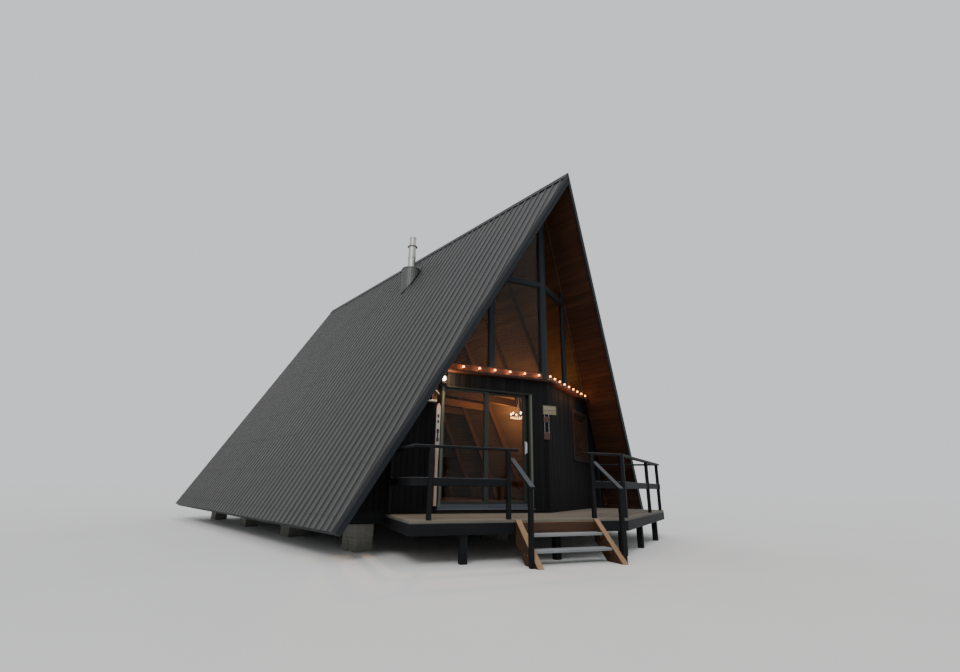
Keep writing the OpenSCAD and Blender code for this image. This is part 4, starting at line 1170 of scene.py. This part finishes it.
def camera():
    # At the photograph's place, from the fit, which found the focal length in pixels of the photograph
    heading, rise, roll = 41.6252, 17.8705, 0.8801
    focal_px, photo_px, sensor = 465.4533, 960, 36
    place = Matrix.Translation((-6.9188, VERTEX - 5.7992, 0.9911))
    for turn, axis in ((-heading, "Z"), (90 + rise, "X"), (roll, "Z")):
        place = place @ Matrix.Rotation(radians(turn), 4, axis)
    data = bpy.data.cameras.new("camera")
    data.sensor_width = sensor
    data.lens = focal_px / photo_px * sensor
    data.clip_end = 300
    made = add("camera", data)
    made.matrix_world = place
    bpy.context.scene.camera = made


def stage():
    # The plain pale floor of the studio
    half = 90
    mesh = bpy.data.meshes.new("studio_floor")
    corners = [(-half, -half, 0), (half, -half, 0), (half, half, 0), (-half, half, 0)]
    mesh.from_pydata(corners, [], [(0, 1, 2, 3)])
    made = add("studio_floor", mesh)
    f = Finish("studio_floor")
    cloud = f.noise(f.place(), 0.4, 3.0)
    f.set(Base_Color=f.mix(cloud, (0.72, 0.72, 0.71), (0.78, 0.78, 0.77)), Roughness=0.85)
    mesh.materials.append(f.material)


def lamp(name, power, colour, place, size, aim=None):
    # A round lamp, or a sun where it is aimed; reflections show only the sun
    data = bpy.data.lights.new(name, "SUN" if aim else "POINT")
    data.energy = power
    data.color = colour
    made = add(name, data)
    made.location = place
    made.visible_camera = False
    made.visible_transmission = False
    made.visible_glossy = bool(aim)
    if aim:
        data.angle = size
        made.rotation_euler = (Vector(aim) - Vector(place)).to_track_quat("-Z", "Y").to_euler()
    else:
        data.shadow_soft_size = size


def lights():
    # A pale sky and one soft sun; warm lamps in the room, in the wall lamp and the bulbs, and under the ledge
    world = bpy.data.worlds.new("studio")
    bpy.context.scene.world = world
    world.use_nodes = True
    sky = world.node_tree.nodes["Background"]
    sky.inputs["Color"].default_value = (0.83, 0.85, 0.87, 1.0)
    sky.inputs["Strength"].default_value = 1.0
    lamp("soft_sun", 1.2, (1.0, 0.98, 0.95), (-12, -9, 16), 0.4, (0, 0, 2))
    warm = (1.0, 0.57, 0.26)
    lamp("warm_room", 105, warm, (1.05, VERTEX + 1.77, FLOOR + 2.05), 0.12)
    lamp("warm_slope", 125, warm, (1.6, VERTEX + 3.0, FLOOR + 2.2), 0.12)
    lamp("warm_lamp", 75, (1.0, 0.62, 0.3), LEFT_WALL @ Vector((2.13, 0.16, FLOOR + 2.18)), 0.04)
    for side, gap, count in BULB_RUNS:
        for i in range(count):
            spot = wall_frame(side) @ Vector((FIRST_BULB + i * gap, 0.07, SILL + 0.075))
            lamp(f"warm_bulb_{side}_{i}", 2.2, (1.0, 0.42, 0.13), spot, 0.02)
    for i in range(4):
        spot = wall_frame(RIGHT) @ Vector((0.45 + i * 0.35, 0.17, LEDGE - 0.14))
        lamp(f"warm_leak_{i}", 6.0, (1.0, 0.4, 0.12), spot, 0.06)


camera()
stage()
lights()
